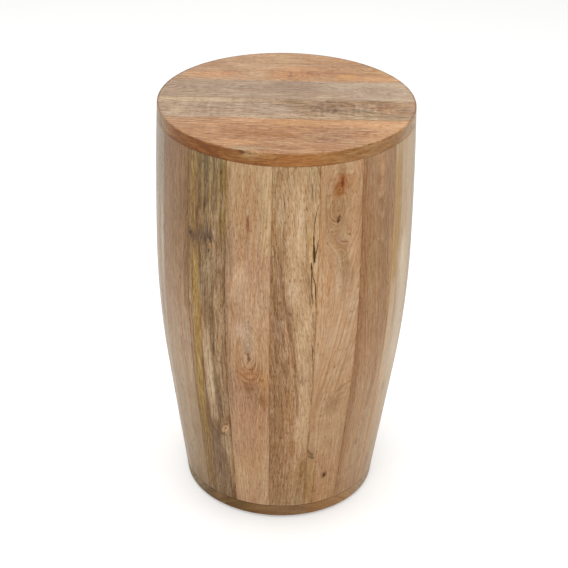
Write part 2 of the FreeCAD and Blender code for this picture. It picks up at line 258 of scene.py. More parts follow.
class Wood:
    """The wood of one board at many points.

    across and along are millimetres on the board's face, and fibre is across as the grain bends it.
    ring counts growth rings and figure is how plainly they show. dark is 1 in an open crack.
    relief is how far the surface is above the true outline, so it is never over 0.
    show is 1 on the faces that are seen, where the named marks lie, and 0 on the others."""

    def __init__(self, across, along, show, seed):
        self.across = across
        self.along = along
        self.show = show
        self.seed = seed
        self.turn = 0
        self.fibre = across.copy()
        self.colour = np.zeros((len(across), 3))
        self.ring = across / RING_SPACING
        self.figure = np.zeros(len(across))
        self.dark = np.zeros(len(across))
        self.relief = np.zeros(len(across))

    def noise(self, x, y, layers=3):
        """Layered bumps, other ones at each call."""
        self.turn += 1
        return layered(x, y, self.seed * SEED_STEP + self.turn * TURN_STEP, layers)

    def face_noise(self, width, length):
        """Bumps of this width and length, straight along the board."""
        return self.noise(self.across / width, self.along / length)

    def fibre_noise(self, width, length):
        """Bumps of this width and length that follow the grain."""
        return self.noise(self.fibre / width, self.along / length)

    def along_noise(self, length):
        """Bumps of this length, each right across the board."""
        return self.noise(self.along / length, 0.0)

    def mix(self, mask, code):
        """Brings the wood towards a tone where mask is over 0, on the faces that are seen."""
        self.colour += (mask * self.show)[:, None] * (tone(code) - self.colour)

    def shade(self, amount):
        """Makes the wood deeper where amount is over 0 and paler where it is under 0."""
        self.colour **= (1.0 + amount)[:, None]

    def calm(self, share):
        """Makes fibres and pores less plain, by up to CALMEST."""
        self.dark = np.maximum(self.dark, CALMEST * share)

    def away(self, at, size, lean=0.0, arch=False):
        """Distance from a place, where 1 is the edge of an oval of that size that leans aside as it rises.

        With arch, only the upper half is an oval: below the place its sides run straight down."""
        forward = self.along - at[1]
        if arch:
            forward = np.maximum(forward, 0.0)
        return np.hypot((self.across - at[0] - lean * forward) / size[0], forward / size[1])

    def bend(self, at, push, reach):
        """Leads the grain round a knot: push is how far aside it goes, reach how far along that is felt."""
        side = self.across - at[0]
        near = np.exp(-(((self.along - at[1]) / reach) ** 2))
        self.fibre -= push * np.tanh(side / push) * near * np.exp(-np.abs(side) / (4.0 * push))

    def lead(self, *path):
        """Leads the grain along a path, given as stops along and across, and rounds it at the stops."""
        for shift in LEAD_SHIFTS:
            self.fibre -= between(self.along + shift, path) / len(LEAD_SHIFTS)

    def ground(self, run, contrast, width=11.0, length=260.0):
        """The plain wood: a run of places and tones along the board, with drift and streaks in its fibres."""
        self.fibre += FIBRE_SWAY * self.face_noise(26.0, 60.0)
        for part in range(3):
            self.colour[:, part] = np.interp(self.along, run[::2], [tone(code)[part] for code in run[1::2]])
        drift = self.fibre_noise(width, length)
        streaks = self.fibre_noise(2.6, 55.0)
        clouds = self.fibre_noise(16.0, 45.0)
        self.shade(contrast * (DRIFT_DEPTH * drift + STREAK_DEPTH * streaks + CLOUD_DEPTH * clouds))
        self.colour *= 1.0 + self.fibre_noise(7.0, 50.0)[:, None] * WARM

    def rings(self, middle, depth, figure, wave=6.0):
        """Growth rings cut at a slant: they arch round the line middle, tightly where depth is small.

        Both are runs of places along the board and amounts in millimetres."""
        side = self.fibre - between(self.along, middle)
        deep = between(self.along, depth) + wave * self.face_noise(40.0, 90.0)
        self.ring = np.hypot(side, deep) / RING_SPACING
        self.figure[:] = figure

    def whorl(self, at, size, figure, lean=0.0, spacing=RING_SPACING, follow=0.0, arch=False):
        """Rings that close round a place, or arch over it. follow is how far the fibres run along them."""
        away = self.away(at, size, lean, arch)
        uneven = UNEVEN_WHORL / size[0] * self.face_noise(9.0, 22.0)
        near = 1.0 - smooth_step(*WHORL_EDGE, away)
        self.ring += near * ((away + uneven) * size[0] / spacing - self.ring)
        self.figure += near * (figure - self.figure)
        self.fibre += follow * near * ((away + 0.3 * uneven) * size[0] - self.fibre)

    def streaks(self, *marks):
        """Bands of another tone along the board: (width, tone, strength, fade, ragged, then their path)."""
        for width, code, strength, fade, ragged, *path in marks:
            middle = np.interp(self.along, path[1::2], path[::2])
            drift = ragged * self.fibre_noise(2.0, 45.0)
            slow = ragged * self.along_noise(38.0)
            away = np.abs(self.across - middle + slow) + drift
            soft = STREAK_SOFTNESS * width / 2.0
            mask = 1.0 - smooth_step(width / 2.0 - soft, width / 2.0 + soft, away)
            tail = fade * (1.0 + UNEVEN_TAIL * self.noise(self.fibre / 1.5, 0.0))
            low, high = path[1], path[-1]
            begun = smooth_step(low, low + tail, self.along)
            mask *= begun * (1.0 - smooth_step(high - tail, high, self.along))
            self.mix(strength * mask, code)

    def patches(self, *marks):
        """Oval areas of another tone: (across, along, width, length, tone), and if need be strength, softness
        and lean."""
        for across, along, width, length, code, *rest in marks:
            strength, soft, lean = rest + [PATCH_STRENGTH, PATCH_SOFTNESS, 0.0][len(rest) :]
            away = self.away((across, along), (width, length), lean)
            away += UNEVEN_PATCH * self.fibre_noise(2.2, 22.0)
            self.mix(strength * (1.0 - smooth_step(1.0 - soft, 1.0 + soft, away)), code)

    def ripple(self, at, size, amount, spacing):
        """Curly figure: soft ridges that cross the grain, this far apart, and fade out at the oval's edge."""
        near = 1.0 - smooth_step(*RIPPLE_EDGE, self.away(at, size))
        sway = 5.0 * self.face_noise(15.0, 40.0)
        wave = self.noise(self.across / (2.4 * spacing), (self.along + sway) / (0.5 * spacing), 2)
        self.shade(amount * near * wave * self.show)

    def near_line(self, path):
        """Distance of each point to a smooth line, and half the line's thickness there for a width of 1."""
        line = rounded_path(path)
        nearest = np.full(len(self.across), np.inf)
        share = np.zeros(len(self.across))
        for step, (start, end) in enumerate(zip(line[:-1], line[1:])):
            run = end - start
            side, forward = self.across - start[0], self.along - start[1]
            part = np.clip((side * run[0] + forward * run[1]) / (run @ run), 0.0, 1.0)
            gap = np.hypot(side - part * run[0], forward - part * run[1])
            closer = gap < nearest
            nearest = np.where(closer, gap, nearest)
            share = np.where(closer, (step + part) / (len(line) - 1), share)
        return nearest, 0.5 * np.sqrt(np.clip(4.0 * share * (1.0 - share), 0.02, 1.0))

    def lines(self, *marks):
        """Drawn marks, widest in the middle and pointed at their ends: (width, tone, strength, then path)."""
        for width, code, strength, *path in marks:
            nearest, half = self.near_line(path)
            half = width * half
            low, high = LINE_CORE * half, LINE_REACH * half + LINE_SOFTNESS
            self.mix(strength * (1.0 - smooth_step(low, high, nearest)), code)

    def cracks(self, *marks):
        """Open splits, carved into the surface: (width, then their path)."""
        for width, *path in marks:
            nearest, half = self.near_line(path)
            half = width * half * (1.0 + UNEVEN_CRACK * self.along_noise(6.0))
            inside = half - nearest
            self.mix(0.5 * np.exp(np.minimum(inside, 0.0) / CRACK_HALO), CRACK_BROWN)
            # dark marks the inside of the split, which the material turns deep brown: painted shade over the
            # carved depth.
            self.dark = np.maximum(self.dark, self.show * np.clip(0.5 + inside, 0.0, 1.0))
            carved = CRACK_DEPTH * np.clip(inside / half, 0.0, 1.0) * self.show
            self.relief = np.minimum(self.relief, -carved)

    def knot(self, at, size, heart, halo, lean=0.0, turns=2.0, pit=0.25, glow=2.0, strength=1.0):
        """A knot: a dark oval heart with rings in it, a soft halo round it, and a slight hollow."""
        away = self.away(at, size, lean)
        away = away * (1.0 + UNEVEN_KNOT * self.face_noise(3.0, 5.0))
        self.mix(HALO_STRENGTH * strength * (1.0 - smooth_step(HALO_START, glow, away)), halo)
        ripple = 0.5 + 0.5 * np.cos(2.0 * math.pi * turns * away)
        core = 1.0 - smooth_step(*KNOT_EDGE, away)
        self.mix(strength * core * (0.55 + 0.45 * ripple), heart)
        self.relief -= pit * self.show * (1.0 - smooth_step(*KNOT_HOLLOW, away))

    def edges(self, half_width):
        """The wood a little darker towards the joints."""
        away = np.abs(self.across) + 0.5 * self.along_noise(14.0)
        low, high = half_width - JOINT_DARK_REACH, half_width + JOINT_DARK_BEYOND
        self.shade(JOINT_DEPTH * smooth_step(low, high, away))


# ---- the staves that face the front, each with its own marks: places are (across, along) in millimetres ----


def stave_01_wood(wood):
    """Brown and streaky, with a cream band that slants down it and long open splits by its right joint."""
    wood.lead(23, 0, 130, 8, 220, 8, 380, -12, 450, -18, 600, -26)
    wood.ground((23, "9e7a52", 120, "a1774f", 300, "9f7750", 430, "a27b55", 600, "ab8a62"), 1.2)
    wood.streaks(
        (24, "8f6842", 0.75, 70, 2.0, -20, 20, -20, 440),
        (9, "85603e", 0.55, 40, 1.5, -26, 370, -25, 420, -24.5, 470),
    )
    for shift, code in ((-13, "805a36"), (-6, "bb946a"), (0, "7a5331"), (8, "ab8457")):
        wood.streaks(
            (4.2, code, 0.6, 40, 1.0, 9 + shift, 225, 4 + shift, 290, -4 + shift, 345, -13 + shift, 400,
             -18 + shift, 450),
        )
    wood.streaks(
        (20, "bd9972", 0.85, 70, 2.5, 18, 90, 21, 170, 21, 215, 18, 260, 16, 305, 15, 350, 8, 395, 2, 440,
         0, 520, -3, 590),
        (8, "ccac85", 0.7, 35, 1.5, 5, 440, 5, 480, 7, 515, 3, 570),
        (7, "b8925f", 0.7, 35, 1.5, 20, 450, 19, 535),
        (7, "c49e72", 0.8, 30, 1.5, 28, 350, 27.5, 440, 28, 505),
        (4, "8a603a", 0.5, 25, 1.0, 14, 200, 10, 232, 9, 262),
        (7, "85602c", 0.75, 30, 1.5, 17, 24, 19, 60, 24, 105, 25, 130),
    )
    wood.patches(
        (-25, 553, 5, 24, "8e683f"), (12, 174, 6, 20, "c8a684"), (-18, 575, 7, 10, "96724c"),
        (-19, 412, 5, 16, "80593a"), (12, 269, 5, 12, "9e7a56", 0.55), (3, 531, 3, 9, "a68560", 0.55),
        (-9, 310, 7, 18, "b28d68"), (11, 464, 4, 22, "c8a67e"), (18, 361, 5, 18, "cdab84"),
        (17, 529, 5, 16, "bb9870"), (10, 367, 4, 12, "a07c57", 0.55), (-14, 376, 4, 14, "845f40"),
        (-4, 260, 5, 12, "a98462"), (9, 108, 5, 14, "b89470"), (10, 574, 4, 12, "bd9c76"),
        (-9, 394, 4, 12, "b08c68"),
    )
    for across, low, high in ((-24, 60, 400), (-13, 90, 420), (-6, 180, 380)):
        wood.streaks((1.6, "6f4c2b", 0.45, 60, 1.6, across - 1.5, low, across + 1.0, high))
    wood.lines(
        (1.3, "6b4720", 0.8, -16.5, 546, -15.2, 535, -14.2, 522),
        (2.2, "6a4422", 0.65, -28, 474, -26.5, 460, -24.0, 445),
        (1.0, "6b5028", 0.6, -3.5, 520, -2.2, 505, -1.0, 498), (1.4, "6b4a22", 0.6, 3.2, 512, 3.8, 499),
        (1.2, "5d401c", 0.7, 9.6, 541, 10.3, 533), (1.6, "5d401c", 0.7, 13.2, 528, 14.6, 521),
        (1.2, "5d401c", 0.7, 21.2, 560, 20.6, 548, 21.2, 534), (1.4, "62481c", 0.8, 29.5, 580, 30.3, 566),
    )
    wood.knot((16, 258), (4, 6), "85603c", "9a7450", strength=0.5, pit=0.05)
    wood.cracks(
        (0.95, 30.6, 530, 27.5, 520, 25.4, 509, 24.3, 495, 23.9, 482, 24.2, 470),
        (2.2, 23.9, 488, 24.2, 474, 25.0, 463, 26.0, 448), (4.6, 24.6, 470, 25.2, 458, 26.0, 446),
        (1.1, 26.2, 455, 28.3, 463, 30.6, 480), (2.0, 21.3, 447, 22.5, 434),
        (1.1, 22.0, 438, 22.7, 420, 23.4, 402, 25.3, 384),
        (1.2, 22.5, 436, 24.7, 424, 27.9, 412, 28.7, 396, 29.9, 378),
        (0.9, 26.0, 372, 26.4, 360, 27.4, 345), (0.6, 26.8, 318, 27.6, 306, 28.2, 292),
    )
    wood.rings((23, 18, 300, 10, 600, -8), (23, 14, 600, 30), 0.35)
    wood.patches(
        (20.8, 468, 2.4, 22, "c9a675"), (19.5, 441, 3, 14, "c4a070", 0.5),
        (25.5, 360, 3, 14, "c4a076", 0.5), (27.9, 503, 5, 30, "c39c71"), (-2.1, 403, 5, 16, "c4a584"),
        (10, 334, 5, 16, "c4a47c"), (-20.5, 346, 6, 18, "9b795d"), (-5.3, 370, 4, 12, "9d795b"),
    )


def stave_02_wood(wood):
    """Peach, with a red oval knot near its head, a small dark one below, and grain that slants down it."""
    wood.bend((-2, 556), 7.0, 26.0)
    wood.bend((-5, 503), 3.0, 15.0)
    wood.whorl((32, 200), (58, 330), 0.0, lean=0.18, follow=1.0, arch=True)
    wood.whorl((-5, 528), (20, 62), 0.0, follow=0.8)
    wood.ground(
        (23, "aa7d51", 80, "ac8158", 200, "b08860", 330, "bc936c", 430, "b88f67", 520, "ad845b",
         600, "b0875f"), 0.9,
    )
    wood.streaks(
        (12, "bb8f66", 0.6, 40, 1.0, 19, 430, 21, 500, 20, 580),
        (5, "cba37a", 0.65, 40, 1.5, -22, 225, -10, 290, 0, 340, 8, 390),
    )
    wood.patches(
        (-8, 512, 13, 30, "97714a"), (8, 415, 5, 30, "a07650", 0.55, 0.6, 0.02),
        (2, 208, 14, 16, "9b744d", 0.55, 0.6, 0.25), (-26, 75, 8, 45, "96703a", 0.75, 0.6, -0.05),
        (-17, 45, 7, 30, "966a38"), (-2, 574, 6, 12, "90633c", 0.65), (4, 452, 8, 32, "96724c", 0.65),
        (-30, 289, 5, 16, "c8a37e"), (-16, 553, 6, 12, "9c704a"), (17, 458, 5, 18, "cba27c", 0.55),
        (17, 418, 4, 12, "9c744c"), (0, 548, 10, 8, "8a5d39", 0.55), (-4, 474, 4, 9, "91694a"),
    )
    for start in (-4, 4, 12, 20):
        wood.lines((2.2, "9a6f4c", 0.45, start - 22, 212, start - 8, 272, start + 5, 335, start + 14, 390))
    wood.lines(
        (2.0, "916840", 0.6, -23, 548, -22.5, 520, -19, 503, -10, 498),
        (2.4, "9c7048", 0.55, -26, 500, -23, 482, -11, 471, 2, 466, 6, 474),
        (3.4, "7d5431", 0.6, 4, 229, 9, 234, 16, 239, 28, 243),
    )
    for rise in (0, 9, 18):
        wood.lines((2.0, "8f6844", 0.45, -10, 190 + rise, 2, 206 + rise, 14, 216 + rise, 29, 214 + rise))
    wood.patches((-25, 120, 7, 9, "8d663d"))
    wood.lines(
        (3.8, "553614", 0.85, -31, 131, -28, 125, -24, 121, -19.5, 119),
        (3.4, "553614", 0.9, -29, 118, -25, 116, -19, 113), (2.4, "7d5732", 0.7, -15.5, 128, -14.4, 120),
        (1.6, "8a6239", 0.5, -14, 108, -3, 90, 1, 76),
    )
    wood.rings((23, 20, 420, 24, 600, -4), (23, 24, 400, 38, 600, 12), 0.7)
    wood.whorl((32, 200), (58, 330), 0.6, lean=0.18, spacing=3.6, arch=True)
    wood.whorl((-5, 520), (20, 66), 0.4, spacing=5.0)
    wood.whorl((-3, 553), (11, 24), 0.5, lean=0.15, spacing=3.5)
    wood.knot(
        (-2.2, 552), (9.2, 16.5), "985729", "a3703f", lean=0.22, turns=0.6, pit=0.2, glow=1.4, strength=0.9
    )
    wood.knot((-0.8, 556), (1.9, 6.5), "66330f", "88481c", glow=1.8, pit=0.2)
    wood.knot((-5.5, 503), (1.9, 4.4), "5a3400", "7f5834", turns=0.3, glow=2.0, pit=1.0)
    wood.knot((-3.6, 508), (1.6, 2.4), "5f3d18", "7f5834", glow=1.6, pit=0.2)
    wood.knot((2.8, 75.5), (3.4, 4.0), "582b00", "7a4f28", turns=0.2, glow=2.2, pit=1.2)
    wood.patches((19.5, 363, 7, 18, "c2a483"), (21.8, 572, 6, 12, "c4926b"), (-6.4, 547, 5, 8, "7e4904"))


def stave_03_wood(wood):
    """Brown with a red tinge, deeper along its left joint, with a pointed figure hanging from its head."""
    wood.lead(23, 0, 200, 4, 400, -4, 600, -14)
    wood.whorl((5, 590), (15, 128), 0.0, follow=0.7)
    wood.ground(
        (23, "a97e56", 90, "ad865e", 200, "ab825a", 300, "a3774f", 430, "9c7247", 520, "a17750",
         600, "a67e59"), 1.0,
    )
    wood.streaks(
        (13, "96683f", 0.75, 10, 2.0, -29, 20, -28, 150, -27, 330, -26, 500, -28, 590),
        (9, "b89058", 0.7, 40, 1.0, 29, 310, 29, 470), (14, "bd9770", 0.75, 60, 1.0, 26, 20, 26, 325),
        (7, "bb885f", 0.5, 15, 1.5, -3, 510, 5, 545, -3, 585),
    )
    wood.patches((18, 530, 8, 50, "8f6c48", 0.35), (7, 450, 11, 35, "8c6038", 0.35))
    wood.lines(
        (2.4, "855c35", 0.55, -22, 498, -12, 474, -3, 457, 8, 449, 15, 458, 20, 482),
        (2.0, "7a552f", 0.6, 14, 398, 20, 386, 27, 376),
        (2.2, "8b6441", 0.5, -28, 42, -16, 58, -4, 72, 4, 66, 8, 50),
    )
    wood.rings((23, -6, 140, 6, 300, 18, 600, 4), (23, 4, 140, 22, 440, 4, 600, 26), 0.6)
    wood.whorl((5, 590), (15, 128), 0.5)
    wood.whorl((-4, 40), (14, 40), 0.7)
    wood.knot((1, 117), (2.2, 5.0), "855c3a", "98704b", strength=0.7, pit=0.1)


def stave_04_wood(wood):
    """Yellow along its left joint above, with a cream tongue beside it that opens out downwards."""
    wood.ground(
        (23, "b18b62", 110, "be9a70", 230, "cdad8a", 330, "c8a987", 450, "bf9d76", 600, "bd9c76"), 0.8
    )
    wood.streaks(
        (16, "af8444", 0.85, 40, 2.4, -23, 360, -22, 450, -22, 590),
        (12, "b88a5c", 0.7, 60, 1.0, -28, 20, -27, 100, -25, 230),
        (7, "a07d5b", 0.5, 30, 2.0, -9, 280, -13, 320, -17, 385),
        (4, "a5835a", 0.5, 30, 1.0, -12, 378, -13, 440, -14, 590),
    )
    wood.patches((3, 404, 8, 40, "dfc69f", 0.75, 0.8))
    wood.streaks(
        (24, "d3bc9c", 0.65, 60, 3.0, 8, 190, 7, 300, 4, 380, -1, 445),
        (12, "c7ad88", 0.5, 40, 1.0, 20, 250, 18, 590),
    )
    wood.patches((-13, 55, 8, 20, "a0704a"), (-8, 192, 6, 12, "a98765"))
    wood.lines((3.0, "93714c", 0.6, -9, 455, -6, 447, -4, 440))
    wood.rings((23, 20, 600, 4), (23, 12, 300, 30, 600, 22), 0.45)


def stave_16_wood(wood):
    """Taupe with a rose tinge and little figure."""
    wood.ground(
        (23, "907050", 60, "9c7d5b", 130, "a38664", 240, "a68766", 300, "a68463", 370, "9e7a57",
         460, "906d4a", 600, "8a6746"), 0.8,
    )
    wood.streaks(
        (10, "7a5731", 0.75, 40, 1.0, 27, 380, 27, 500, 28, 590),
        (11, "92744a", 0.6, 50, 1.0, 26, 20, 27, 230),
    )
    wood.patches((2, 34, 9, 12, "7c5c2e", 0.7), (10, 128, 7, 14, "8b6545", 0.55))
    wood.lines((2.0, "866546", 0.5, 24, 262, 22, 290, 18, 312))
    wood.rings((23, -12, 300, -4, 600, 6), (23, 8, 280, 26, 600, 12), 0.4)
    wood.patches((27, 365, 5, 24, "7f562e"))


def stave_17_wood(wood):
    """Olive brown, with a yellow streak on the left, a cream one in the middle and three knots."""
    wood.bend((7, 458), 4.0, 16.0)
    wood.bend((22, 158), 6.0, 20.0)
    wood.bend((-26, 464), 4.0, 14.0)
    wood.lead(23, -8, 150, 0, 300, -2, 600, 4)
    wood.ground(
        (23, "80603a", 110, "82603a", 180, "83603a", 300, "8e6b45", 420, "856541", 500, "86653f",
         600, "7f6742"), 1.7,
    )
    wood.streaks(
        (7, "7d531c", 0.6, 25, 1.0, -28, 480, -28, 590),
        (13, "9f7932", 0.85, 60, 2.0, -22, 100, -21, 230, -18, 300, -17, 380, -20, 470),
        (8, "8d6b34", 0.8, 30, 1.6, -21, 450, -20, 520, -21, 595),
        (5, "a07a54", 0.6, 40, 1.0, -29, 220, -28, 440),
        (5, "66523a", 0.65, 35, 1.0, 2, 395, 4, 490, 2, 590),
        (6, "8c6d32", 0.8, 30, 1.0, 27.5, 460, 28, 595),
        (6, "6f5433", 0.8, 40, 1.2, 15, 160, 14, 220, 12, 280, 9, 330, 8, 365),
        (8, "ac8a66", 0.65, 25, 1.0, 17, 425, 15, 488),
        (12, "84601f", 0.7, 35, 1.5, -23, 25, -22, 100, -18, 150, -17, 195),
        (13, "bd9c76", 0.9, 28, 1.4, 2, 158, 2, 200, 1, 245, -1, 290, -2, 345),
        (4, "cdb08c", 0.6, 30, 1.0, 2, 190, 1, 250, -1, 290),
        (10, "9c7650", 0.6, 50, 1.0, 22, 200, 21, 300, 20, 440),
        (8, "98744c", 0.6, 30, 1.0, 27, 30, 26, 140),
    )
    wood.patches(
        (5, 85, 15, 60, "7a5e42", 0.7), (-13, 165, 5, 24, "6d4a1c", 0.55), (16, 129, 7, 12, "a48864"),
        (4, 426, 6, 14, "a68a64"), (5, 501, 4, 13, "a68a64", 0.55), (1, 571, 5, 14, "6a553a"),
        (25, 525, 5, 16, "ac8d68"), (15, 374, 6, 14, "af8f6a"), (25, 115, 6, 36, "ac8c66"),
        (26, 330, 5, 26, "ac8c66"), (27, 205, 5, 18, "a68664", 0.55), (13, 490, 4, 30, "a88966"),
        (17, 273, 5, 16, "a98966"), (0, 391, 8, 13, "7c6040"), (13, 430, 5, 16, "a98a68", 0.55),
        (24, 438, 5, 14, "a98a66"), (7, 191, 4, 14, "83684c"), (-8, 463, 15, 9, "5a3d22", 0.8, 0.7, 0.8),
        (2, 473, 8, 9, "56402c", 0.7, 0.7),
    )
    wood.lines((4.5, "58401f", 0.65, -12, 163, -3, 152, 6, 145, 14, 147, 18, 153))
    for across in (-24, -9, 0, 11, 18, 24):
        wood.streaks((1.5, "5c4325", 0.5, 90, 2.4, across + 1.0, 40, across, 300, across - 1.0, 580))
    for across, code in ((-6, "9b8454"), (6, "a08550"), (13, "5f4a2e"), (20, "a3874e"), (24, "5e4524")):
        wood.streaks((2.2, code, 0.6, 25, 1.0, across, 470, across + 0.8, 520, across, 590))
    wood.rings((23, 4, 600, -6), (23, 10, 150, 25, 600, 30), 0.45)
    wood.whorl((21, 158), (12, 24), 0.7, lean=0.5)
    wood.knot((-26, 464), (3.0, 4.2), "3a240c", "5c4020", turns=0.2, glow=2.2, pit=1.2)
    wood.knot((6.5, 467), (4.0, 3.2), "452d15", "5d4227", glow=2.4, pit=0.15)
    wood.knot((7.5, 456), (3.0, 4.6), "a07a52", "765029", glow=1.9, pit=0.1)
    wood.knot((7.5, 456), (1.1, 2.0), "7c5433", "94704a", glow=1.5, pit=0.1)
    wood.lines((4.0, "5c3f1f", 0.7, 10, 168, 8.5, 160, 10, 150, 16, 145, 22, 146))
    wood.knot((21, 158), (5.6, 9.5), "d0a678", "6b4826", lean=0.62, turns=0.4, glow=1.5, pit=0.1)
    wood.knot((21, 158), (1.8, 3.6), "74491f", "b08a5e", lean=0.62, glow=1.5, pit=0.6)
    wood.patches((-6.7, 325, 5, 20, "8b6132"), (13.4, 237, 5, 16, "896e46"), (14.7, 211, 5, 14, "87694c"))


def stave_18_wood(wood):
    """Pale peach, with a small knot at mid height that the rings hang under like a bib."""
    wood.bend((1, 296), 5.0, 26.0)
    wood.ground(
        (23, "ad8560", 60, "b58f69", 120, "ab835d", 180, "ab825e", 225, "9f7453", 280, "ad845d",
         380, "b38c68", 450, "ad8562", 520, "aa845c", 600, "ac8a63"), 0.8,
    )
    wood.streaks(
        (7, "8d6b43", 0.6, 30, 1.0, -28, 440, -28, 590), (6, "8a6645", 0.6, 40, 1.0, -27, 180, -28, 440),
        (12, "bd9c72", 0.75, 50, 1.0, 25, 440, 26, 520, 25, 590),
    )
    wood.patches(
        (1, 335, 5, 22, "9c7f62"), (0, 312, 6, 10, "8e7152", 0.55), (3, 266, 14, 14, "a36a3a", 0.7),
        (-2, 232, 17, 18, "8f6340"), (22, 222, 7, 12, "84571f", 0.65), (22, 256, 6, 15, "ab763a"),
        (-10, 422, 7, 16, "cdaa86"), (-25, 456, 5, 36, "85674a", 0.7), (-10, 227, 6, 12, "b8926f"),
        (16, 28, 6, 8, "c2a17c"), (-20, 371, 5, 16, "966f4a"), (28, 574, 4, 12, "c4a27c"),
        (27, 388, 4, 16, "a07c58"), (-9, 338, 9, 14, "c5a388"), (1, 309, 4, 9, "97785c"),
        (-24, 125, 4, 14, "99765a"), (-23, 258, 5, 14, "92704e", 0.55), (29, 516, 3, 16, "c2a27a"),
    )
    bib = ((7, 284, 0.35), (10, 275, 0.6), (12.5, 267, 0.45), (15, 258, 0.65), (17.5, 250, 0.45))
    for half, low, strength in bib:
        wood.lines(
            (2.4, "84552e", strength, 2 - half, low + 2.1 * half, 3 - 0.8 * half, low + 6, 3, low,
             3 + 0.8 * half, low + 7, 3 + half, low + 2.3 * half),
        )
    wood.lines(
        (2.6, "c39b6c", 0.6, -10, 262, -6, 257, 0, 255), (2.2, "c69a6e", 0.5, -14, 282, -12, 272, -6, 266),
    )
    wood.rings((23, 6, 220, 4, 420, -4, 600, -6), (23, 26, 230, 12, 420, 26, 600, 5), 0.5)
    wood.whorl((2, 300), (19, 55), 0.9)
    wood.knot((2.2, 293.5), (1.5, 3.6), "6a4518", "80593a", turns=0.3, glow=2.2, pit=1.0)
    wood.lines(
        (4.0, "8d5427", 0.85, 0, 512, 0.3, 500, 0, 485), (1.8, "633415", 0.6, 0, 508, 0.3, 498, 0, 489),
    )
    wood.patches((-10.3, 395, 6, 16, "bb9b7b"), (2.4, 246, 8, 10, "7e4e25"), (21.6, 511, 5, 14, "9d7d54"))


SHOWN_STAVES = {
    1: stave_01_wood, 2: stave_02_wood, 3: stave_03_wood, 4: stave_04_wood,
    16: stave_16_wood, 17: stave_17_wood, 18: stave_18_wood,
}


# ---- the staves at the sides and the back, which differ by kind and by seeded chance ----

# For each kind: its tones at the foot, middle and head, a paler streak, a deeper streak, and its contrast.
STAVE_KINDS = {
    "streaky": ("96714b", "a37a53", "a5845d", "bf9b73", "85603a", 1.4),
    "peach": ("a2764b", "b58d64", "ac835b", "c59b71", "99704a", 0.9),
    "brown": ("a0754e", "a1754d", "a67e59", "b58c64", "85603c", 1.0),
    "cream": ("b59069", "c9ab86", "bd9c76", "dcc4a0", "a17a50", 0.8),
    "tan": ("a67e57", "af8862", "a8865f", "bd9c72", "936c48", 0.8),
    "olive": ("80603a", "8a6843", "7d6340", "b0905f", "654d2e", 1.6),
    "rose": ("95724f", "a58161", "8f6b4a", "b39173", "805c3c", 0.8),
    "pale": ("b39a7a", "b4966f", "b59c7c", "c4ad8a", "a2825c", 0.6),
    "ash": ("9f8668", "aa8e70", "93806a", "bda283", "8c7252", 0.7),
}
HIDDEN_STAVES = ("pale", "olive", "rose", "peach", "streaky", "tan", "brown", "olive", "cream", "rose", "ash")
FIRST_HIDDEN_STAVE = 5


def hidden_stave_wood(wood, kind, dice):
    """One or two knots, four streaks, three patches and arched rings, all placed by chance."""
    foot, middle, head, pale, deep, contrast = STAVE_KINDS[kind]
    knots = []
    for _ in range(dice.integers(1, 3)):
        knots.append((dice.uniform(-18.0, 18.0), dice.uniform(90.0, 540.0), dice.uniform(1.6, 4.5)))
    for across, along, size in knots:
        wood.bend((across, along), 1.6 * size, 6.0 * size)
    waist = dice.uniform(200.0, 420.0)
    wood.ground((23, foot, waist, middle, 600, head), contrast)
    for code, strength in ((pale, 0.75), (deep, 0.65), (pale, 0.5), (deep, 0.45)):
        start = dice.uniform(20.0, 250.0)
        end = start + dice.uniform(160.0, 380.0)
        offset = dice.uniform(-24.0, 24.0)
        lean = dice.uniform(-9.0, 9.0)
        width = dice.uniform(4.0, 14.0)
        path = (offset, start, offset + lean, (start + end) / 2.0, offset + 1.4 * lean, end)
        wood.streaks((width, code, strength, 60, 1.8, *path))
    for code in (pale, deep, deep):
        at = (dice.uniform(-22.0, 22.0), dice.uniform(60.0, 560.0))
        size = (dice.uniform(4.0, 11.0), dice.uniform(14.0, 45.0))
        wood.patches((*at, *size, code, 0.45, 0.6, dice.uniform(-0.1, 0.1)))
    heart = dice.uniform(-14.0, 14.0)
    swing = dice.uniform(-12.0, 12.0)
    depth = (23, dice.uniform(6, 26), waist, dice.uniform(3, 12), 600, dice.uniform(6, 26))
    wood.rings((23, heart, waist, heart + swing, 600, heart), depth, 0.6)
    for across, along, size in knots:
        lean = dice.uniform(-0.3, 0.3)
        wood.whorl((across, along), (3.2 * size, 6.5 * size), 0.8, lean)
        wood.knot((across, along), (size, 1.9 * size), "4a2d15", deep, lean, turns=1.2)


# ---- the boards of the top: places are (across, along), which is (y, x) ----


